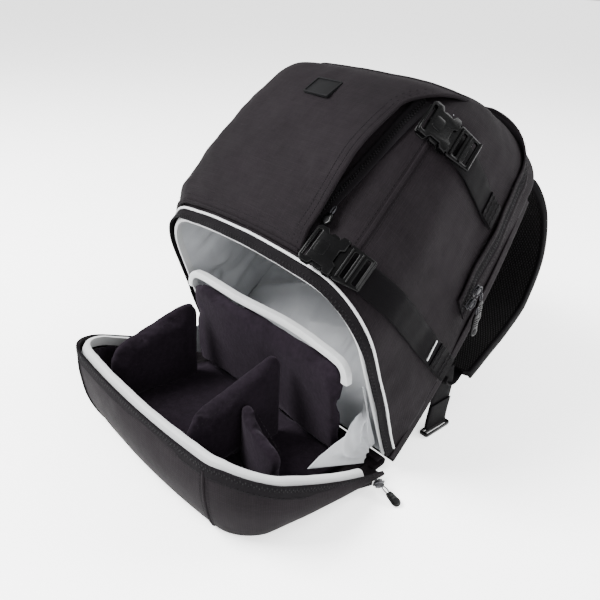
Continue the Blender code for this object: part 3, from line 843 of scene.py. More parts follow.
def build_seams():
    """Raised, double-stitched seams between the front and the sides."""
    for name, seam_s in (("right", SEAM_S), ("left", 2 - SEAM_S)):
        depth = plan_depth(seam_s)
        low, high = rim_height(depth) + RIM_GAP + 0.018, shoulder_height(depth)

        def line(t, s=seam_s, low=low, high=high):
            return s, span(low, high, t)

        seam = wall_ribbon("side_seam_" + name, line, 0.0042, 0.0022, CLOTH, 0.0014, 90, 0.0008)
        fit(seam, "pack", "shell")
        for k, offset in enumerate((-0.014, 0.014)):
            beside = functools.partial(line, s=seam_s + offset)
            row = wall_stitches("side_seam_stitches_" + name + str(k), beside, 0.0015)
            fit(row, "pack", "shell")


# ---- front cover -------------------------------------------------------------------
def cover_surface(u, v, out=0.0):
    """u runs from the free right edge to the left seam, v from the rim to the top seam."""
    flare = 0.060 * max(0.0, (v - 0.45) / 0.55) ** 2 + 0.110 * ease((v - 0.80) / 0.20)
    s = span(0.775 - flare, 1.47, u)
    sewn = ease(v / 0.10) * ease((1 - v) / 0.10) * ease((1 - u) / 0.10)
    lift = 0.0038 + sewn * (0.0085 + 0.0045 * math.sin(math.pi * v))
    lift += sewn * ease(1 - u / 0.35) * 0.0065 * math.sin(math.pi * min(1, v * 1.15)) ** 2
    if v <= COVER_WALL_SHARE:
        d = plan_depth(s, lift)
        surface = pack_at
        where = span(rim_height(d) + RIM_GAP + 0.0155, shoulder_height(d) - 0.001, v / COVER_WALL_SHARE)
    else:
        surface = cap_at
        where = COVER_TOP_ANGLE * (v - COVER_WALL_SHARE) / (1 - COVER_WALL_SHARE)
    soft = crinkle(surface(s, where) + Vector((0.4, 0.1, 0.2))) * (0.5 + 0.9 * sewn)
    return surface(s, where, lift + soft + out)


def cover_normal(u, v):
    du = cover_surface(min(1, u + 0.01), v) - cover_surface(max(0, u - 0.01), v)
    dv = cover_surface(u, min(1, v + 0.01)) - cover_surface(u, max(0, v - 0.01))
    normal = dv.cross(du).normalized()
    return normal if normal.y < 0.3 else -normal


def build_cover():
    cover = grid("cover_fabric", cover_surface, 110, 96, CLOTH, 0.0026)
    fit(cover, "pack", "shell", "front_cover")
    # the free edge is a rolled hem with two rows of stitches beside it; the others are seams
    hem = tube("cover_hem", [cover_surface(0.0, v) for v in steps(120)], 0.0021, CLOTH)
    fit(hem, "pack", "shell")
    lines = [
        ("cover_hem_stitches_0", lambda t: (0.022, span(0.01, 0.99, t)), lambda t: (0.022, t)),
        ("cover_hem_stitches_1", lambda t: (0.05, span(0.01, 0.99, t)), lambda t: (0.05, t)),
    ]
    edges = (
        ("low", lambda t, k: (t, 0.012 + 0.018 * k)),
        ("top", lambda t, k: (t, 0.990 - 0.020 * k)),
        ("left", lambda t, k: (0.988 - 0.018 * k, t)),
    )
    for title, line in edges:
        seam = [cover_surface(*line(t, 0), 0.0012) for t in steps(80)]
        fit(tube("cover_seam_" + title, seam, 0.0018, CLOTH), "pack", "shell")
        beside = functools.partial(line, k=1.6)
        lines.append(("cover_stitches_" + title, beside, beside))
    for name, line, facing in lines:
        def point(t, line=line):
            return cover_surface(*line(t), 0.0016)

        row = stitch_row(name, point, lambda t, facing=facing: cover_normal(*facing(t)), line_length(point))
        fit(row, "pack", "shell")
    build_patch()
    build_pocket_mouth()


def build_patch():
    """A blank rubber label with a raised rim, sewn to the cover."""
    u, v, half_x, half_y, rim = 0.40, 0.803, 0.019, 0.013, 0.0018
    across = (cover_surface(u - 0.03, v) - cover_surface(u + 0.03, v)).normalized()
    normal = cover_normal(u, v)
    turn = Matrix((across, normal.cross(across).normalized(), normal)).transposed().to_4x4()
    place = PACK @ Matrix.Translation(cover_surface(u, v, 0.0022)) @ turn
    outer = block(half_x, half_y, 0.002)
    base = plate("patch_label", [outer], 0.0022, PATCH, place)
    lifted = place @ Matrix.Translation((0, 0, 0.0012))
    ring = plate(
        "patch_rim", [outer, block(half_x - rim, half_y - rim, 0.0014)[::-1]], 0.0020, PATCH, lifted, 0.0004
    )
    moulded("patch_label", [base, ring], "pack", "patch", "patch")


def build_pocket_mouth():
    """The zip of the pocket that the cover's free edge hides."""
    def line(t):
        return span(0.815, 0.700, t), span(0.125, 0.315, t)

    places = teeth_along(lambda t: skin(*line(t), 0.0042), lambda t: wall_frame(*line(t))[3], 120)
    fit(wall_ribbon("pocket_zip_band", line, 0.018, 0.0016, TAPE, 0.0026, 80), "pack", "tape")
    fit(beads("pocket_zip_teeth", places, (0.0016, 0.0008, 0.0010), TEETH), "pack", "tape")


# ---- zips, sliders and pulls ----------------------------------------------------
def slider_body(name, matrix, node, body):
    """A coil-zip slider: two shields, the neck between them and the bridge for the pull."""
    half = [(0.0040, -0.0062), (0.0046, -0.0010), (0.0036, 0.0058), (0.0016, 0.0072)]
    shield = [*half, *[(-x, y) for x, y in reversed(half)]]
    arch = []
    for t in steps(12):
        arch.append(Vector((0, 0.0052 * math.cos(math.pi * t), 0.0026 + 0.0024 * math.sin(math.pi * t))))
    pieces = [
        plate(name + title, [shield], thickness, METAL, matrix @ Matrix.Translation((0, 0, z)), 0.0005)
        for title, thickness, z in (("", 0.0016, 0.0020), ("_low", 0.0014, -0.0016))
    ]
    neck = rounded(-0.0010, 0.0020, 0.0010, 0.0064, 0.0008)
    pieces.append(plate(name + "_neck", [neck], 0.0034, METAL, matrix, 0.0003))
    pieces.append(tube(name + "_bridge", arch, 0.0008, METAL, matrix, 2))
    moulded(name, pieces, body, "zip_metal", node)


def pull_piece(name, matrix, length, node, body):
    """A wire link and a moulded rubber grip with a plain round end, hanging along -Z."""
    half, face = 0.0045, 0.0015
    grip = [(-half * 0.7, -0.0085), (-half, -0.012), (-half * 1.15, -length + 0.006)]
    for t in steps(8):
        a = math.pi * (1 + t)
        grip.append((half * 1.25 * math.cos(a), -length + 0.004 + half * 1.25 * math.sin(a)))
    grip += [(-x, z) for x, z in reversed(grip[:3])]
    pieces = [plate(name, [grip], 0.0030, PLASTIC, matrix @ TURN_X, 0.0011)]
    for k in range(4):
        z = -0.0145 - 0.0028 * k
        if z < -length + 0.010:
            break
        for side in (-1, 1):
            rib = [Vector((x * half * 0.85, side * face, z)) for x in (-1, -0.5, 0, 0.5, 1)]
            pieces.append(tube(name + "_rib" + str(k) + str(side), rib, 0.00045, PLASTIC, matrix, 1))
    disc = []
    for k in range(16):
        a = k * math.pi / 8
        disc.append((half * 0.8 * math.cos(a), half * 0.8 * math.sin(a)))
    for side in (-1, 1):
        place = matrix @ Matrix.Translation((0, side * face, -length + 0.004)) @ TURN_X
        pieces.append(plate(name + "_disc" + str(side), [disc], 0.0008, PATCH, place, 0.0003))
    turns = [2 * math.pi * t for t in steps(16)]
    wire = [Vector((0.0021 * math.sin(a), 0, -0.0050 + 0.0050 * math.cos(a))) for a in turns]
    pieces.append(tube(name + "_link", wire, 0.0007, METAL, matrix, 2))
    moulded(name, pieces, body, "zip_metal", node)


def pivot(joint):
    """A joint's place as a translation."""
    return Matrix.Translation(JOINTS[joint]["pos_m"])


def buckle_matrix(key):
    """The buckle's frame: +X is the way its tongue pulls out, Z runs across the strap."""
    s, drop = {
        "upper_right": (0.580, 0.0), "lower_right": (0.645, 0.0),
        "upper_left": (1.63, 0.0015), "lower_left": (1.63, 0.0015),
    }[key]
    h = (UPPER_STRAP_H if key.startswith("upper") else LOWER_STRAP_H) - drop
    side = 1 if key.endswith("right") else -1
    run = pack_at(s - side * 0.01, h, BUCKLE_OUT) - pack_at(s + side * 0.01, h, BUCKLE_OUT)
    turn = Matrix.Rotation(math.atan2(run.y, run.x), 4, "Z")
    lean = -side * math.atan(2 * SIDE_TAPER * h / FRONT_HEIGHT ** 2)
    return PACK @ Matrix.Translation(pack_at(s, h, BUCKLE_OUT)) @ turn @ Matrix.Rotation(lean, 4, "X")


def opening_path(t):
    """The opening zip's line: t -1 is its left end, 0 the top's middle, 1 its right end."""
    a = abs(t)
    shoulder_t, roof_t = 0.593, 0.45
    shoulder = shoulder_height(OPENING_D)
    if a > shoulder_t:
        h = span(shoulder, 0.185, (a - shoulder_t) / (1 - shoulder_t))
        x = half_at(h) + OPENING_OUT + crinkle(Vector((HALF_WIDTH, -OPENING_D, h)))
        p = Vector((x, -OPENING_D, h))
    else:
        angle = math.pi / 2 * min(1.0, (shoulder_t - a) / (shoulder_t - roof_t))
        grown = TOP_R + OPENING_OUT
        inset = grown * (1 - math.cos(angle))
        depth = DEPTH / 2 + (OPENING_D - DEPTH / 2) * (1 - inset / (DEPTH / 2))
        x = (half_at(shoulder) + OPENING_OUT) * (1 - inset / HALF_WIDTH) * min(1.0, a / roof_t)
        p = Vector((x, -depth, shoulder_height(depth) + grown * math.sin(angle)))
    return Vector((math.copysign(p.x, t), p.y, p.z))


def opening_frame(t):
    """Point, across and outward directions of the opening zip."""
    p = opening_path(t)
    along = opening_path(min(1, t + 0.01)) - opening_path(max(-1, t - 0.01))
    across = Vector((0, 1, -TOP_SLOPE)).normalized()
    normal = across.cross(along).normalized()
    if normal.dot(Vector((p.x, 0, max(0.0, p.z - 0.30)))) < 0:
        normal = -normal
    return p, across, normal


def build_opening_zip():
    """The top opening's zip, its cloth lips, its two sliders and all the pulls on the pack."""
    places = [opening_frame(span(-1, 1, t)) for t in steps(180)]
    run = [(p - n * 0.0026, a, n) for p, a, n in places]
    tape = ribbon("opening_zip_band", run, 0.020, 0.0018, TAPE)
    fit(tape, "pack", "tape", "opening_zip_tape")
    count, grains = 480, []
    for i in range(count):
        p, across, normal = opening_frame(span(-1, 1, (i + 0.5) / count))
        side = TOOTH_SHIFT if i % 2 else -TOOTH_SHIFT
        grains.append((p + across * side - normal * 0.0016, across, normal))
    fit(beads("opening_zip_teeth", grains, TOOTH, TEETH), "pack", "tape")
    for k, side in enumerate((-1, 1)):
        run = [(p + a * (side * 0.0115) - n * 0.0022, a, n) for p, a, n in places]
        lip = ribbon("opening_zip_lip_" + str(k), run, 0.0075, 0.0018, CLOTH, crown=0.0004)
        fit(lip, "pack", "tape")

        def point(t, side=side):
            p, a, n = opening_frame(span(-1, 1, t))
            return p + a * (side * 0.0125) - n * 0.0002

        row = stitch_row(
            "opening_zip_stitches_" + str(k), point, lambda t: opening_frame(span(-1, 1, t))[2],
            line_length(point),
        )
        fit(row, "pack", "tape")
    out = Vector((1, 0, 0))
    basis = Matrix((UP.cross(out), UP, out)).transposed().to_4x4()
    for name, body, h in (("upper", "opening_slider", 0.212), ("lower", "pack", 0.196)):
        place = Matrix.Translation((half_at(h) + OPENING_SLIDER_OUT, -OPENING_D, h))
        slider_body("opening_slider_" + name, PACK @ place @ basis, "opening_zip_slider_" + name, body)
        matrix = pivot("opening_zip_pull_swing_" + name) @ TURN_Z
        pull_piece("opening_pull_" + name, matrix, 0.034, "opening_zip_pull_" + name, "opening_pull_" + name)
    matrix = pivot("pocket_zip_pull_swing") @ Matrix.Rotation(-LEAN, 4, "X")
    pull_piece("pocket_pull_grip", matrix, 0.020, "pocket_zip_pull", "pocket_pull")


def build_main_zip():
    forward = Vector((0, -1, ZIP_SLOPE)).normalized()
    for side, sign in SIDES:
        matrix = pivot("main_zip_pull_swing_" + side)
        out = Vector((sign, 0, 0))
        where = matrix.translation - out * 0.0055
        basis = Matrix((forward.cross(out), forward, out)).transposed().to_4x4()
        slider = "main_slider_" + side
        slider_body(slider, Matrix.Translation(where) @ basis, "main_zip_slider_" + side, slider)
        # the pull hangs outward, its end just off the floor
        slope = math.acos((where.z - 0.0030) / 0.024)
        lean = Matrix.Rotation(-sign * slope, 4, "Y") @ TURN_Z
        pull = "main_pull_" + side
        pull_piece(pull, matrix @ lean, 0.0245, "main_zip_pull_" + side, pull)


# ---- compression straps and buckles -----------------------------------------------
def bartack(name, p, run, side, normal, width):
    """A dense block of cross stitches that holds a webbing end."""
    places = []
    for k, t in enumerate(steps(6)):
        slant = run * (0.6 if k % 2 else -0.6)
        for row in (-0.0035, 0.0035):
            places.append((p + side * span(-width / 2, width / 2, t) + run * row, side + slant, normal))
    return beads(name, places, (0.0026, 0.0005, 0.0005), THREAD, PACK, 5)


def strap(name, s0, s1, height, node):
    """A compression webbing round the pack's wall, its sewn end folded and bartacked."""
    def line(t):
        return span(s0, s1, t), span(height, height - 0.004, t)

    places, runs = [], []
    for t in steps(70):
        p, _, _, normal = wall_frame(*line(t), 0.0046)
        run = pack_at(*line(min(1, t + 0.01))) - pack_at(*line(max(0, t - 0.01)))
        places.append((p, normal.cross(run).normalized(), normal))
        runs.append(run.normalized())
    folded = [(p + n * 0.0017, side, n) for p, side, n in places[-15:]]
    fit(ribbon(name, places, WEB_W, 0.0019, WEB, crown=0.0003), "pack", "webbing", node)
    fit(ribbon(name + "_fold", folded, WEB_W - 0.0015, 0.0017, WEB), "pack", "webbing")
    for k, at in enumerate((-13, -6)):
        p, side, normal = places[at]
        tack = bartack(name + "_tack" + str(k), p + normal * 0.0030, runs[at], side, normal, WEB_W - 0.006)
        fit(tack, "pack", "webbing")


def build_buckle(key):
    """A side-release buckle: hollow socket with side windows, tongue with two prongs."""
    place = buckle_matrix(key)
    outward = -1 if key.endswith("right") else 1

    def moulding(name, outlines, thickness, y, rounding):
        stand = place @ Matrix.Translation((0, y, 0)) @ TURN_X
        return plate(name, outlines, thickness, PLASTIC, stand, rounding)

    half, back = 0.0195, -0.0355
    shell = [
        (-0.0005, half - 0.002), (-0.0025, half), (-0.0085, half), (-0.0105, half - 0.0045),
        (-0.0215, half - 0.0045), (-0.0245, half), (-0.0320, half), (back, half - 0.003),
    ]
    outer = [*shell, *[(x, -z) for x, z in reversed(shell)]]
    mouth = [(-0.0005, -0.008), (-0.0045, -0.006), (-0.0045, 0.006), (-0.0005, 0.008)]
    bar = rounded(back + 0.0022, -half + 0.0045, back + 0.0062, half - 0.0045, 0.0012)[::-1]
    window = rounded(-0.0265, -0.0070, -0.0150, 0.0070, 0.0030)
    pieces = [
        moulding("socket", [outer + mouth, bar], 0.0026, outward * 0.0036, 0.0010),
        moulding("low", [outer, bar], 0.0024, -outward * 0.0036, 0.0009),
        moulding("recess", [window], 0.0012, outward * 0.0049, 0.0005),
        moulding("rib", [rounded(-0.0300, -0.0012, -0.0060, 0.0012, 0.0008)], 0.0060, 0.0, 0.0003),
    ]
    for x0, x1, z in ((-0.0085, -0.0005, 0.0180), (-0.0345, -0.0245, 0.0172)):
        for low in (z - 0.0014, -z - 0.0014):
            pieces.append(moulding("rail", [rounded(x0, low, x1, low + 0.0028, 0.0007)], 0.0066, 0.0, 0.0004))
    moulded("buckle_shell_" + key, pieces, "pack", "buckle_plastic", "buckle_socket_" + key)

    prong = [
        (0.0010, 0.0155), (-0.0100, 0.0150), (-0.0115, 0.0178), (-0.0185, 0.0185), (-0.0225, 0.0150),
        (-0.0232, 0.0118), (-0.0190, 0.0108), (-0.0080, 0.0100), (-0.0045, 0.0070),
    ]
    tongue = [(0.0300, 0.0150), (0.0290, 0.0165), (0.0040, 0.0188), (0.0010, 0.0180), *prong]
    outer = [*tongue, *[(x, -z) for x, z in reversed(tongue)]]
    slots = [
        rounded(x0, -0.0138, x1, 0.0138, 0.0012)[::-1] for x0, x1 in ((0.0075, 0.0115), (0.0205, 0.0250))
    ]
    pieces = [moulding("tongue", [outer, *slots], 0.0040, 0.0, 0.0010)]
    for x in (0.0045, 0.0158, 0.0278):
        rail = [Vector((x, outward * 0.0022, z)) for z in (-0.0155, -0.008, 0, 0.008, 0.0155)]
        pieces.append(tube("bar" + str(x), rail, 0.0014, PLASTIC, place))
    moulded("buckle_prongs_" + key, pieces, "buckle_" + key, "buckle_plastic", "buckle_tongue_" + key)


def build_compression():
    runs = (
        ("upper_right", 0.66, 0.20), ("lower_right", 0.625, 0.015),
        ("upper_left", 1.50, 1.80), ("lower_left", 1.50, 1.985),
    )
    for key, s0, s1 in runs:
        height = UPPER_STRAP_H if key.startswith("upper") else LOWER_STRAP_H
        strap("web_" + key, s0, s1, height, "strap_" + key)
    # a small light tab sewn across the lower right webbing
    places = []
    for t in steps(12):
        p, forward, _, normal = wall_frame(0.17, LOWER_STRAP_H - 0.0035 + span(-0.012, 0.012, t), 0.0072)
        places.append((p, forward, normal))
    fit(ribbon("strap_light_tab", places, 0.0020, 0.0009, BINDING), "pack", "webbing")
    for key, _, _ in runs:
        build_buckle(key)


# ---- tray ---------------------------------------------------------------------------
def tray_crinkle(p):
    return 0.0022 * noise.noise(p * 9.0 + Vector((5, 1, 2))) + 0.0010 * noise.noise(p * 27.0)


def tray_skin(s, v, out=0.0):
    """The tray's outer cloth; v 0 is tucked under the base, 1 is the rim."""
    foot_share = 0.12
    if v < foot_share:
        tuck = v / foot_share
        p = tray_wall(s, 0.0, -0.006 * (1 - tuck) ** 1.5)
        p.z = 0.0008 + 0.0040 * tuck
        return p
    w = (v - foot_share) / (1 - foot_share)
    if w <= 0:
        return tray_wall(s, 0.0)
    p = tray_wall(s, 0.02 + 0.98 * w)
    p.z = max(p.z, 0.0048)
    fade = ease(w / 0.2) * ease((1 - w) / 0.15)
    return tray_wall(s, 0.02 + 0.98 * w, out + 0.0018 + tray_crinkle(p) * fade)


def rim_frame(s, drop, out):
    """A place on the tray's rim, drop below its edge: (point, upward, outward)."""
    p = tray_wall(s, 1, out)
    p.z = tray_rim(s) - drop
    normal = UP.cross(tray_at(s + 0.01, 0) - tray_at(s - 0.01, 0))
    if normal.dot(Vector((p.x, p.y - HINGE_Y + TRAY_DEPTH / 2, 0))) < 0:
        normal = -normal
    return p, UP, normal.normalized()


def build_tray():
    cloth = grid("tray_fabric", lambda u, v: tray_skin(span(*RIM_ENDS, u), v), 170, 40, CLOTH, 0.0022, WORLD)
    fit(cloth, "base", "shell", "tray_front_wall", "tray_side_right", "tray_side_left")
    frame["nodes"]["base_panel"].data.materials.clear()
    frame["nodes"]["base_panel"].data.materials.append(CLOTH)
    for title, s in (("right", TRAY_SEAM_S), ("left", 2 - TRAY_SEAM_S)):
        points = [tray_skin(s, span(0.10, 0.94, t), 0.0012) for t in steps(40)]
        fit(tube("tray_seam_" + title, points, 0.0016, CLOTH, WORLD), "base", "shell")
        facing = UP.cross(tray_at(s + 0.01, 0) - tray_at(s - 0.01, 0))
        for k, offset in enumerate((-0.013, 0.013)):
            row = stitch_row(
                "tray_seam_stitches_" + title + str(k),
                lambda t, s=s + offset: tray_skin(s, span(0.14, 0.92, t), 0.0014),
                lambda t, facing=facing: facing, 0.085, WORLD,
            )
            fit(row, "base", "shell")
    places = [rim_frame(span(*TRAY_ZIP_ENDS, t), 0.0060, 0.0034) for t in steps(150)]
    fit(ribbon("tray_zip_band", places, 0.0150, 0.0018, TAPE, WORLD), "base", "tape", "tray_zip_tape")
    count, grains = 300, []
    for i in range(count):
        p, up, normal = rim_frame(span(*TRAY_ZIP_ENDS, (i + 0.5) / count), 0.0016, 0.0042)
        p.z += 0.0011 if i % 2 else -0.0011
        grains.append((p, up, normal))
    fit(beads("tray_zip_teeth", grains, TOOTH, TEETH, WORLD), "base", "zip_metal")
    places = []
    for t in steps(200):
        p, _, normal = rim_frame(span(0.12, 1.88, t), 0.0058, -0.0052)
        places.append((p + normal * (0.0007 * noise.noise(p * 60.0)), UP - normal * 0.42, normal))
    binding = ribbon("tray_rim_binding", places, 0.0158, 0.0052, BINDING, WORLD, 0.0012)
    fit(binding, "base", "binding", "tray_binding")
    for k, drop in enumerate((0.0045, 0.0110)):
        def at(t, drop=drop):
            return rim_frame(span(*TRAY_ZIP_ENDS, t), drop, 0.0045)

        row = stitch_row("tray_zip_stitches_" + str(k), lambda t: at(t)[0], lambda t: at(t)[2], 0.62, WORLD)
        fit(row, "base", "tape")


# ---- padded interior ----------------------------------------------------------------
def puff(obj, limit, pressure=4.0, voxel=0.005):
    """Inflates a closed fabric piece with a short cloth simulation and keeps the result."""
    name = obj.name
    remesh = obj.modifiers.new("even", "REMESH")
    remesh.mode = "VOXEL"
    remesh.voxel_size = voxel
    smooth = obj.modifiers.new("round", "SMOOTH")
    smooth.iterations = 3
    smooth.factor = 0.5
    apply_modifiers(obj)
    before = [v.co.copy() for v in obj.data.vertices]
    cloth = obj.modifiers.new("cloth", "CLOTH")
    values = {
        "quality": 5, "mass": 0.25, "tension_stiffness": 18, "compression_stiffness": 18,
        "bending_stiffness": 1.2, "use_pressure": True, "uniform_pressure_force": pressure,
    }
    for key, value in values.items():
        setattr(cloth.settings, key, value)
    cloth.settings.effector_weights.gravity = 0.0
    cloth.collision_settings.use_collision = False
    cloth.collision_settings.use_self_collision = False
    last = 20
    cloth.point_cache.frame_start = 1
    cloth.point_cache.frame_end = last
    for number in range(1, last + 1):
        bpy.context.scene.frame_set(number)
    apply_modifiers(obj)
    bpy.context.scene.frame_set(1)
    for vertex, start in zip(obj.data.vertices, before):
        move = vertex.co - start
        if move.length > limit:
            vertex.co = start + move.normalized() * limit
    refine(obj)
    obj.name = name


def dimple(obj, amount, scale=26.0):
    for v in obj.data.vertices:
        v.co += v.normal * amount * noise.noise(v.co * scale)


def slab(name, a, b, top, thick, bow):
    """A padded wall from a to b in plan, its top following top(t), its front foot cut back."""
    foot, slant = 0.0145, 0.013
    a, b = Vector((*a, 0)), Vector((*b, 0))
    across = UP.cross(b - a).normalized()

    def point(u, v):
        low = u * (1 - slant / (b - a).length * (1 - v))
        p = a.lerp(b, low) + across * (bow * math.sin(math.pi * u) * (0.4 + 0.6 * v))
        p.z = span(foot, top(u), v)
        return p

    return grid(name, point, 16, 12, FLEECE, thick, WORLD)


def divider_top(rear, front, corner, length):
    def top(t):
        run = t * length
        height = span(rear, front, t)
        edge = min(run, length - run)
        if edge < corner:
            height -= corner - math.sqrt(max(0.0, corner ** 2 - (corner - edge) ** 2))
        return height
    return top


def edge_stitches(name, a, b, top, body):
    """Stitches along both faces of a divider, just below its upper edge."""
    a, b = Vector((*a, 0)), Vector((*b, 0))
    rows = []
    for side in (-1, 1):
        facing = UP.cross(b - a).normalized() * side

        def point(t, facing=facing):
            u = span(0.09, 0.91, t)
            p = a.lerp(b, u)
            p.z = top(u) - 0.0085
            return p + facing * 0.0062

        length = (b - a).length * 0.8
        rows.append(stitch_row(name + str(side), point, lambda t, up=facing: up, length, WORLD, 0.005))
    fit(join(name, rows), body, "fleece")


def build_interior():
    build_tray_pads()
    build_rear_panel()
    build_dividers()


def build_tray_pads():
    """The padded lining of the walls, quilted at the two corner seams, and the floor pad."""
    seam = TRAY_SEAM_S
    sections = (
        ("front", seam + 0.004, 2 - seam - 0.004), ("right", 0.17, seam), ("left", 2 - seam, 1.83),
    )
    for title, s0, s1 in sections:
        def wall(u, v, s0=s0, s1=s1):
            return tray_wall(span(s0 + 0.006, s1 - 0.006, u), v, -0.0100, 0.0150, 0.0085)

        pad = grid("wall_pad_" + title, wall, 40, 14, FLEECE, 0.0075, WORLD)
        puff(pad, 0.006, 4.0, 0.0045)
        dimple(pad, 0.0008)
        fit(pad, "base", "fleece", title + "_pad", fill=0.5)

    def floor_point(u, v):
        edge = tray_at(span(0.070, 0.985, v), 0, -TRAY_TUCK - 0.0175)
        return Vector((edge.x * span(-1, 1, u), edge.y, 0.0100))

    floor = grid("floor_cushion", floor_point, 60, 50, FLEECE, 0.0065, WORLD)
    puff(floor, 0.005, 2.0, 0.0055)
    dimple(floor, 0.0009, 18.0)
    fit(floor, "base", "fleece", "floor_pad", fill=0.4)


def build_rear_panel():
    """The arched wall at the back of the compartment, its upper edge bound in grey."""
    half, corner, drop = 0.135, 0.013, 0.004

    def depth(x, v):
        return HINGE_Y - 0.048 + 0.010 * (1 - v) + 0.0025 * math.sin(x * 34) * v

    def top(x):
        past = max(0.0, abs(x) - (half - corner))
        return 0.139 + 0.006 * (1 - (x / 0.138) ** 4) - corner + math.sqrt(max(0.0, corner ** 2 - past ** 2))

    def panel(u, v):
        x = span(-half, half, u)
        if abs(u - 0.5) > 0.44:
            x = half * math.sin(math.pi / 2 * span(-1, 1, u))
        return Vector((x, depth(x, v), span(0.0165, top(x), v)))

    rear = grid("rear_cushion", panel, 44, 22, FLEECE, 0.0065, WORLD)
    puff(rear, 0.006)
    dimple(rear, 0.0010)
    fit(rear, "base", "fleece", "rear_panel", fill=0.5)
    places = []
    level, arc = half - corner, corner * math.pi / 2
    total = 2 * (drop + arc + level)
    for t in steps(160):
        run = t * total - total / 2
        sign, run = (1 if run > 0 else -1), abs(run)
        if run < level:
            x, z, out = run, top(run), UP
        else:
            angle = min(math.pi / 2, (run - level) / corner)
            out = Vector((sign * math.sin(angle), 0, math.cos(angle)))
            x = level + corner * math.sin(angle)
            z = top(level) - corner + corner * math.cos(angle) - max(0.0, run - level - arc)
        p = Vector((sign * x, depth(sign * x, 1), z)) + out * 0.0034
        p.y += 0.0007 * noise.noise(p * 50.0)
        places.append((p, out, -REARWARD))
    bound = ribbon("rear_panel_edge", places, 0.0088, 0.0074, BINDING, WORLD, 0.0008)
    fit(bound, "base", "binding", "rear_panel_binding")


def build_dividers():
    """Four lift-out dividers; each row gives the two ends in plan, the two heights and the bow."""
    walls = (
        ("divider_left", (-0.108, 0.061), (-0.113, 0.181), 0.127, 0.089, 0.002),
        ("divider_right", (0.052, 0.061), (0.056, 0.191), 0.129, 0.087, -0.002),
        ("divider_right_cross", (0.0635, 0.118), (0.137, 0.134), 0.093, 0.073, -0.005),
        ("divider_left_cross", (-0.1195, 0.136), (-0.141, 0.134), 0.087, 0.067, 0.0),
    )
    for node, rear, front, rear_top, front_top, bow in walls:
        thick, corner = 0.0092, min(0.020, math.dist(rear, front) * 0.42)
        if node == "divider_right_cross":
            thick, corner = 0.0118, 0.009
        a, b = [(x, HINGE_Y - d) for x, d in (rear, front)]
        top = divider_top(rear_top, front_top, corner, math.dist(a, b))
        body = slab(node + "_cushion", a, b, top, thick, bow)
        puff(body, 0.006, 4.0, 0.0042)
        dimple(body, 0.0007)
        fit(body, node, "fleece", node, fill=0.6)
        edge_stitches(node + "_stitches", a, b, top, node)


# ---- fabric at the hinge -------------------------------------------------------------
def pack_world(x, d, h):
    return PACK @ Vector((x, -d, h))


def build_gussets():
    """Silver side gussets, slack and pleated, between the tray's rim and the pack's."""
    edge_x, lift = HALF_WIDTH - 0.0145, 0.006
    for side, sign in SIDES:
        def point(u, v, sign=sign):
            # u 0 at the hinge, 1 at the far corner; v 0 on the tray, 1 on the pack
            d = span(0.018, 0.104, u)
            low = Vector((sign * edge_x, HINGE_Y - d, HINGE_Z + rim_height(d) - lift))
            p = low.lerp(pack_world(sign * edge_x, d * 0.98, rim_height(d) + lift), v)
            slack = math.sin(math.pi * v)
            p.y += slack * (0.52 * d * u)
            p.z -= slack * 0.10 * d
            pleat = abs(math.sin(v * 11.0 + 1.5 * noise.noise(p * 14.0)))
            crush = noise.noise(p * 38.0) + 0.5 * noise.noise(p * 90.0)
            p.x += -sign * (0.003 + slack * (0.004 * u + 0.0085 * pleat * (0.25 + u) + 0.0040 * crush))
            p += Vector((0, 0.5, 0.5)) * (0.0045 + 0.0040 * u) * crush * slack
            return p

        cloth = grid("gusset_cloth_" + side, point, 64, 80, LINING, 0.0010, WORLD)
        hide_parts("gusset_" + side)
        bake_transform(cloth)


def build_hinge_strip():
    """The bottom cloth that runs from under the tray round to the foot of the back."""
    radius, half = 0.0088, HALF_WIDTH - 0.006

    def point(u, v):
        angle = math.radians(span(-62, 130, v))
        y = HINGE_Y - 0.003 + radius * math.cos(angle) * 0.9 - max(0.0, 0.12 - v) * 0.10
        z = max(HINGE_Z + 0.0012 + radius * math.sin(angle) * 0.75, 0.0012)
        return Vector((span(-half, half, u), y, z))

    strip = grid("hinge_fabric", point, 60, 24, CLOTH, 0.0012, WORLD)
    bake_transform(strip)


# ---- back and harness -------------------------------------------------------------------
# the shoulder straps' middle line: x, depth in front of the back, height
HARNESS = [
    (0.070, -0.006, 0.380), (0.078, -0.036, 0.391), (0.092, -0.074, 0.374), (0.106, -0.100, 0.330),
    (0.116, -0.106, 0.272), (0.124, -0.094, 0.224), (0.132, -0.075, 0.182), (0.138, -0.060, 0.142),
]


# the webbing that joins the pad's lower end to the pack's corner
HARNESS_LINK = [
    (0.1360, -0.0680, 0.1600), (0.1380, -0.0600, 0.1420), (0.1420, -0.0500, 0.1270),
    (0.1460, -0.0330, 0.1180), (0.1490, -0.0170, 0.1170), (0.1500, -0.0120, 0.1230),
]


def along(points, t):
    """Catmull-Rom point on a list of control points, t from 0 to 1."""
    run = t * (len(points) - 1)
    i = min(int(run), len(points) - 2)
    f = run - i
    p = [Vector(points[max(0, min(len(points) - 1, i + k))]) for k in (-1, 0, 1, 2)]
    return 0.5 * (
        2 * p[1] + (p[2] - p[0]) * f + (2 * p[0] - 5 * p[1] + 4 * p[2] - p[3]) * f * f
        + (3 * p[1] - p[0] - 3 * p[2] + p[3]) * f ** 3
    )


def harness_frame(t, sign):
    x, d, h = along(HARNESS, t)
    x1, d1, h1 = along(HARNESS, min(1, t + 0.01))
    x0, d0, h0 = along(HARNESS, max(0, t - 0.01))
    run = Vector((sign * (x1 - x0), -(d1 - d0), h1 - h0)).normalized()
    side = Vector((1, 0, 0))
    side = (side - run * side.dot(run)).normalized()
    return Vector((sign * x, -d, h)), run, side, side.cross(run).normalized()


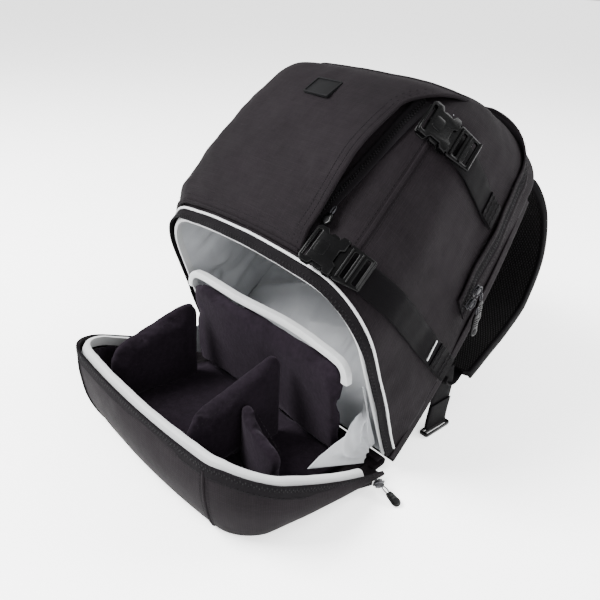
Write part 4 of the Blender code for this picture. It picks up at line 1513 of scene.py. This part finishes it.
def build_harness():
    def width(t):
        return 0.060 * (1 - 0.30 * max(0.0, t - 0.6) / 0.4)

    for title, sign in SIDES:
        frames = []
        for t in steps(110):
            p, _, side, n = harness_frame(t, sign)
            # the normal points away from the bag's back
            frames.append((p, side, n if n.y > 0 or n.z > 0 else -n))
        core = ribbon("shoulder_pad_" + title, frames, width, 0.0105, MESH, crown=0.0012)
        refine(core)
        fit(core, "pack", "mesh", "shoulder_strap_" + title, fill=0.7)
        for k, edge in enumerate((-1, 1)):
            shape = []
            for t, (p, side, n) in zip(steps(110), frames):
                shape.append((p + side * (edge * (width(t) / 2 - 0.0005)), n, side * edge))
            trim = ribbon("shoulder_edge_" + title + str(k), shape, 0.0125, 0.0030, WEB, crown=0.0008)
            fit(trim, "pack", "webbing")
        center = [(p + n * 0.0068, side, n) for p, side, n in frames[4:-2]]
        fit(ribbon("shoulder_web_" + title, center, 0.025, 0.0018, WEB), "pack", "webbing")
        places = []
        for t in steps(30):
            p = along(HARNESS_LINK, t)
            run = along(HARNESS_LINK, min(1, t + 0.02)) - along(HARNESS_LINK, max(0, t - 0.02))
            run = Vector((sign * run.x, -run.y, run.z))
            side = Vector((1, 0, 0)) - run * (run.x / run.length_squared)
            places.append((Vector((sign * p.x, -p.y, p.z)), side, side.cross(run)))
        fit(ribbon("shoulder_link_" + title, places, 0.025, 0.0019, WEB), "pack", "webbing")
        build_tail(title, sign)
    build_handle()


def build_tail(title, sign):
    """The webbing that comes down from the pack's corner, with its tri-glide on the floor."""
    x, y = sign * 0.150, HINGE_Y + 0.104
    out = Vector((sign, 0, 0))
    places = []
    for t in steps(40):
        sway = 0.0016 * math.sin(t * 5.0)
        places.append((Vector((x + sign * sway, y, span(0.086, 0.0078, t))), REARWARD, out))
    tail = ribbon("tail_web_" + title, places, 0.0375, 0.0020, WEB, WORLD, 0.0003)
    fit(tail, "pack", "webbing", "strap_tail_" + title)
    doubled = [(p + out * 0.0023, side, n) for p, side, n in places[22:]]
    fit(ribbon("tail_web_layer_" + title, doubled, 0.0365, 0.0018, WEB, WORLD), "pack", "webbing")
    slots = [rounded(-0.0195, low, 0.0195, low + 0.0032, 0.0010)[::-1] for low in (-0.0042, 0.0010)]
    place = Matrix.Translation((x, y, 0.0038)) @ TURN_Z
    outlines = [block(0.0230, 0.0060, 0.0030), *slots]
    glide = plate("tri_glide_" + title, outlines, 0.0050, PLASTIC, place, 0.0014)
    fit(glide, "pack", "buckle_plastic", "strap_adjuster_" + title)


def build_handle():
    """A haul loop of doubled webbing, hanging plumb behind the top."""
    places = []
    for t in steps(48):
        c, s = math.cos(math.pi * t), math.sin(math.pi * t)
        places.append((Vector((0.045 * c, 0.0, -0.003 - 0.042 * s)), REARWARD, Vector((c, 0, -s))))
    loop = ribbon("haul_loop", places, 0.0085, 0.0068, WEB, pivot("grab_handle_swing"), 0.0006)
    fit(loop, "handle", "webbing", "grab_handle")


def build_back():
    """Spacer-mesh back panel with two padded fields and a bound edge."""
    def back_point(u, v):
        h = span(0.008, shoulder_height(0) - 0.003, v)
        half = half_at(h) - 0.003
        puffed = 0.0022 * ease(min(u, 1 - u, v, 1 - v) / 0.10)
        return Vector((span(-half, half, u), 0.0055 + puffed, h))

    fit(grid("back_mesh", back_point, 60, 70, MESH, 0.0080), "pack", "mesh", "back_panel")
    ts = steps(60)
    edge = [back_point(0.0, t) for t in ts] + [back_point(t, 1.0) for t in ts[1:]]
    edge += [back_point(1.0, 1 - t) for t in ts[1:]]
    # a bound strip closes the joint between the panel and the shell
    high = shoulder_height(0) - 0.002
    side = [Vector((half_at(h) + 0.0006, 0.0010, h)) for h in (span(0.010, high, t) for t in steps(50))]
    path = list(side)
    for t in steps(40)[1:-1]:
        path.append(Vector((span(half_at(high), -half_at(high), t), 0.0010, high + 0.0012)))
    path += [Vector((-p.x, p.y, p.z)) for p in reversed(side)]
    places = []
    for i, p in enumerate(path):
        run = path[min(len(path) - 1, i + 1)] - path[max(0, i - 1)]
        places.append((p, REARWARD, run.cross(REARWARD)))
    fit(ribbon("back_joint_strip", places, 0.0125, 0.0020, CLOTH), "pack", "shell")
    lifted = [p + REARWARD * 0.0035 for p in edge]
    fit(tube("back_edge_cord", lifted, 0.0030, WEB), "pack", "webbing")
    fields = (
        ("back_cushion", "back_pad", 0.122, 0.313, 0.011),
        ("lumbar_cushion", "lumbar_pad", 0.036, 0.110, 0.013),
    )
    for name, node, h0, h1, thick in fields:
        def pad_point(u, v, h0=h0, h1=h1, thick=thick):
            x = span(-0.122, 0.122, u)
            channel = 0.0035 * math.exp(-((x / 0.012) ** 2))
            return Vector((x, 0.0112 + thick / 2 - channel, span(h0, h1, v)))

        pad = grid(name, pad_point, 40, 30, MESH, thick * 0.86)
        puff(pad, 0.005, 3.0, 0.006)
        fit(pad, "pack", "mesh", node, fill=0.6)


build_camera()
build_stage()
build_shell()
build_lining()
build_pack_rim()
build_seams()
build_cover()
build_opening_zip()
build_main_zip()
build_compression()
build_tray()
build_interior()
build_gussets()
build_hinge_strip()
build_back()
build_harness()
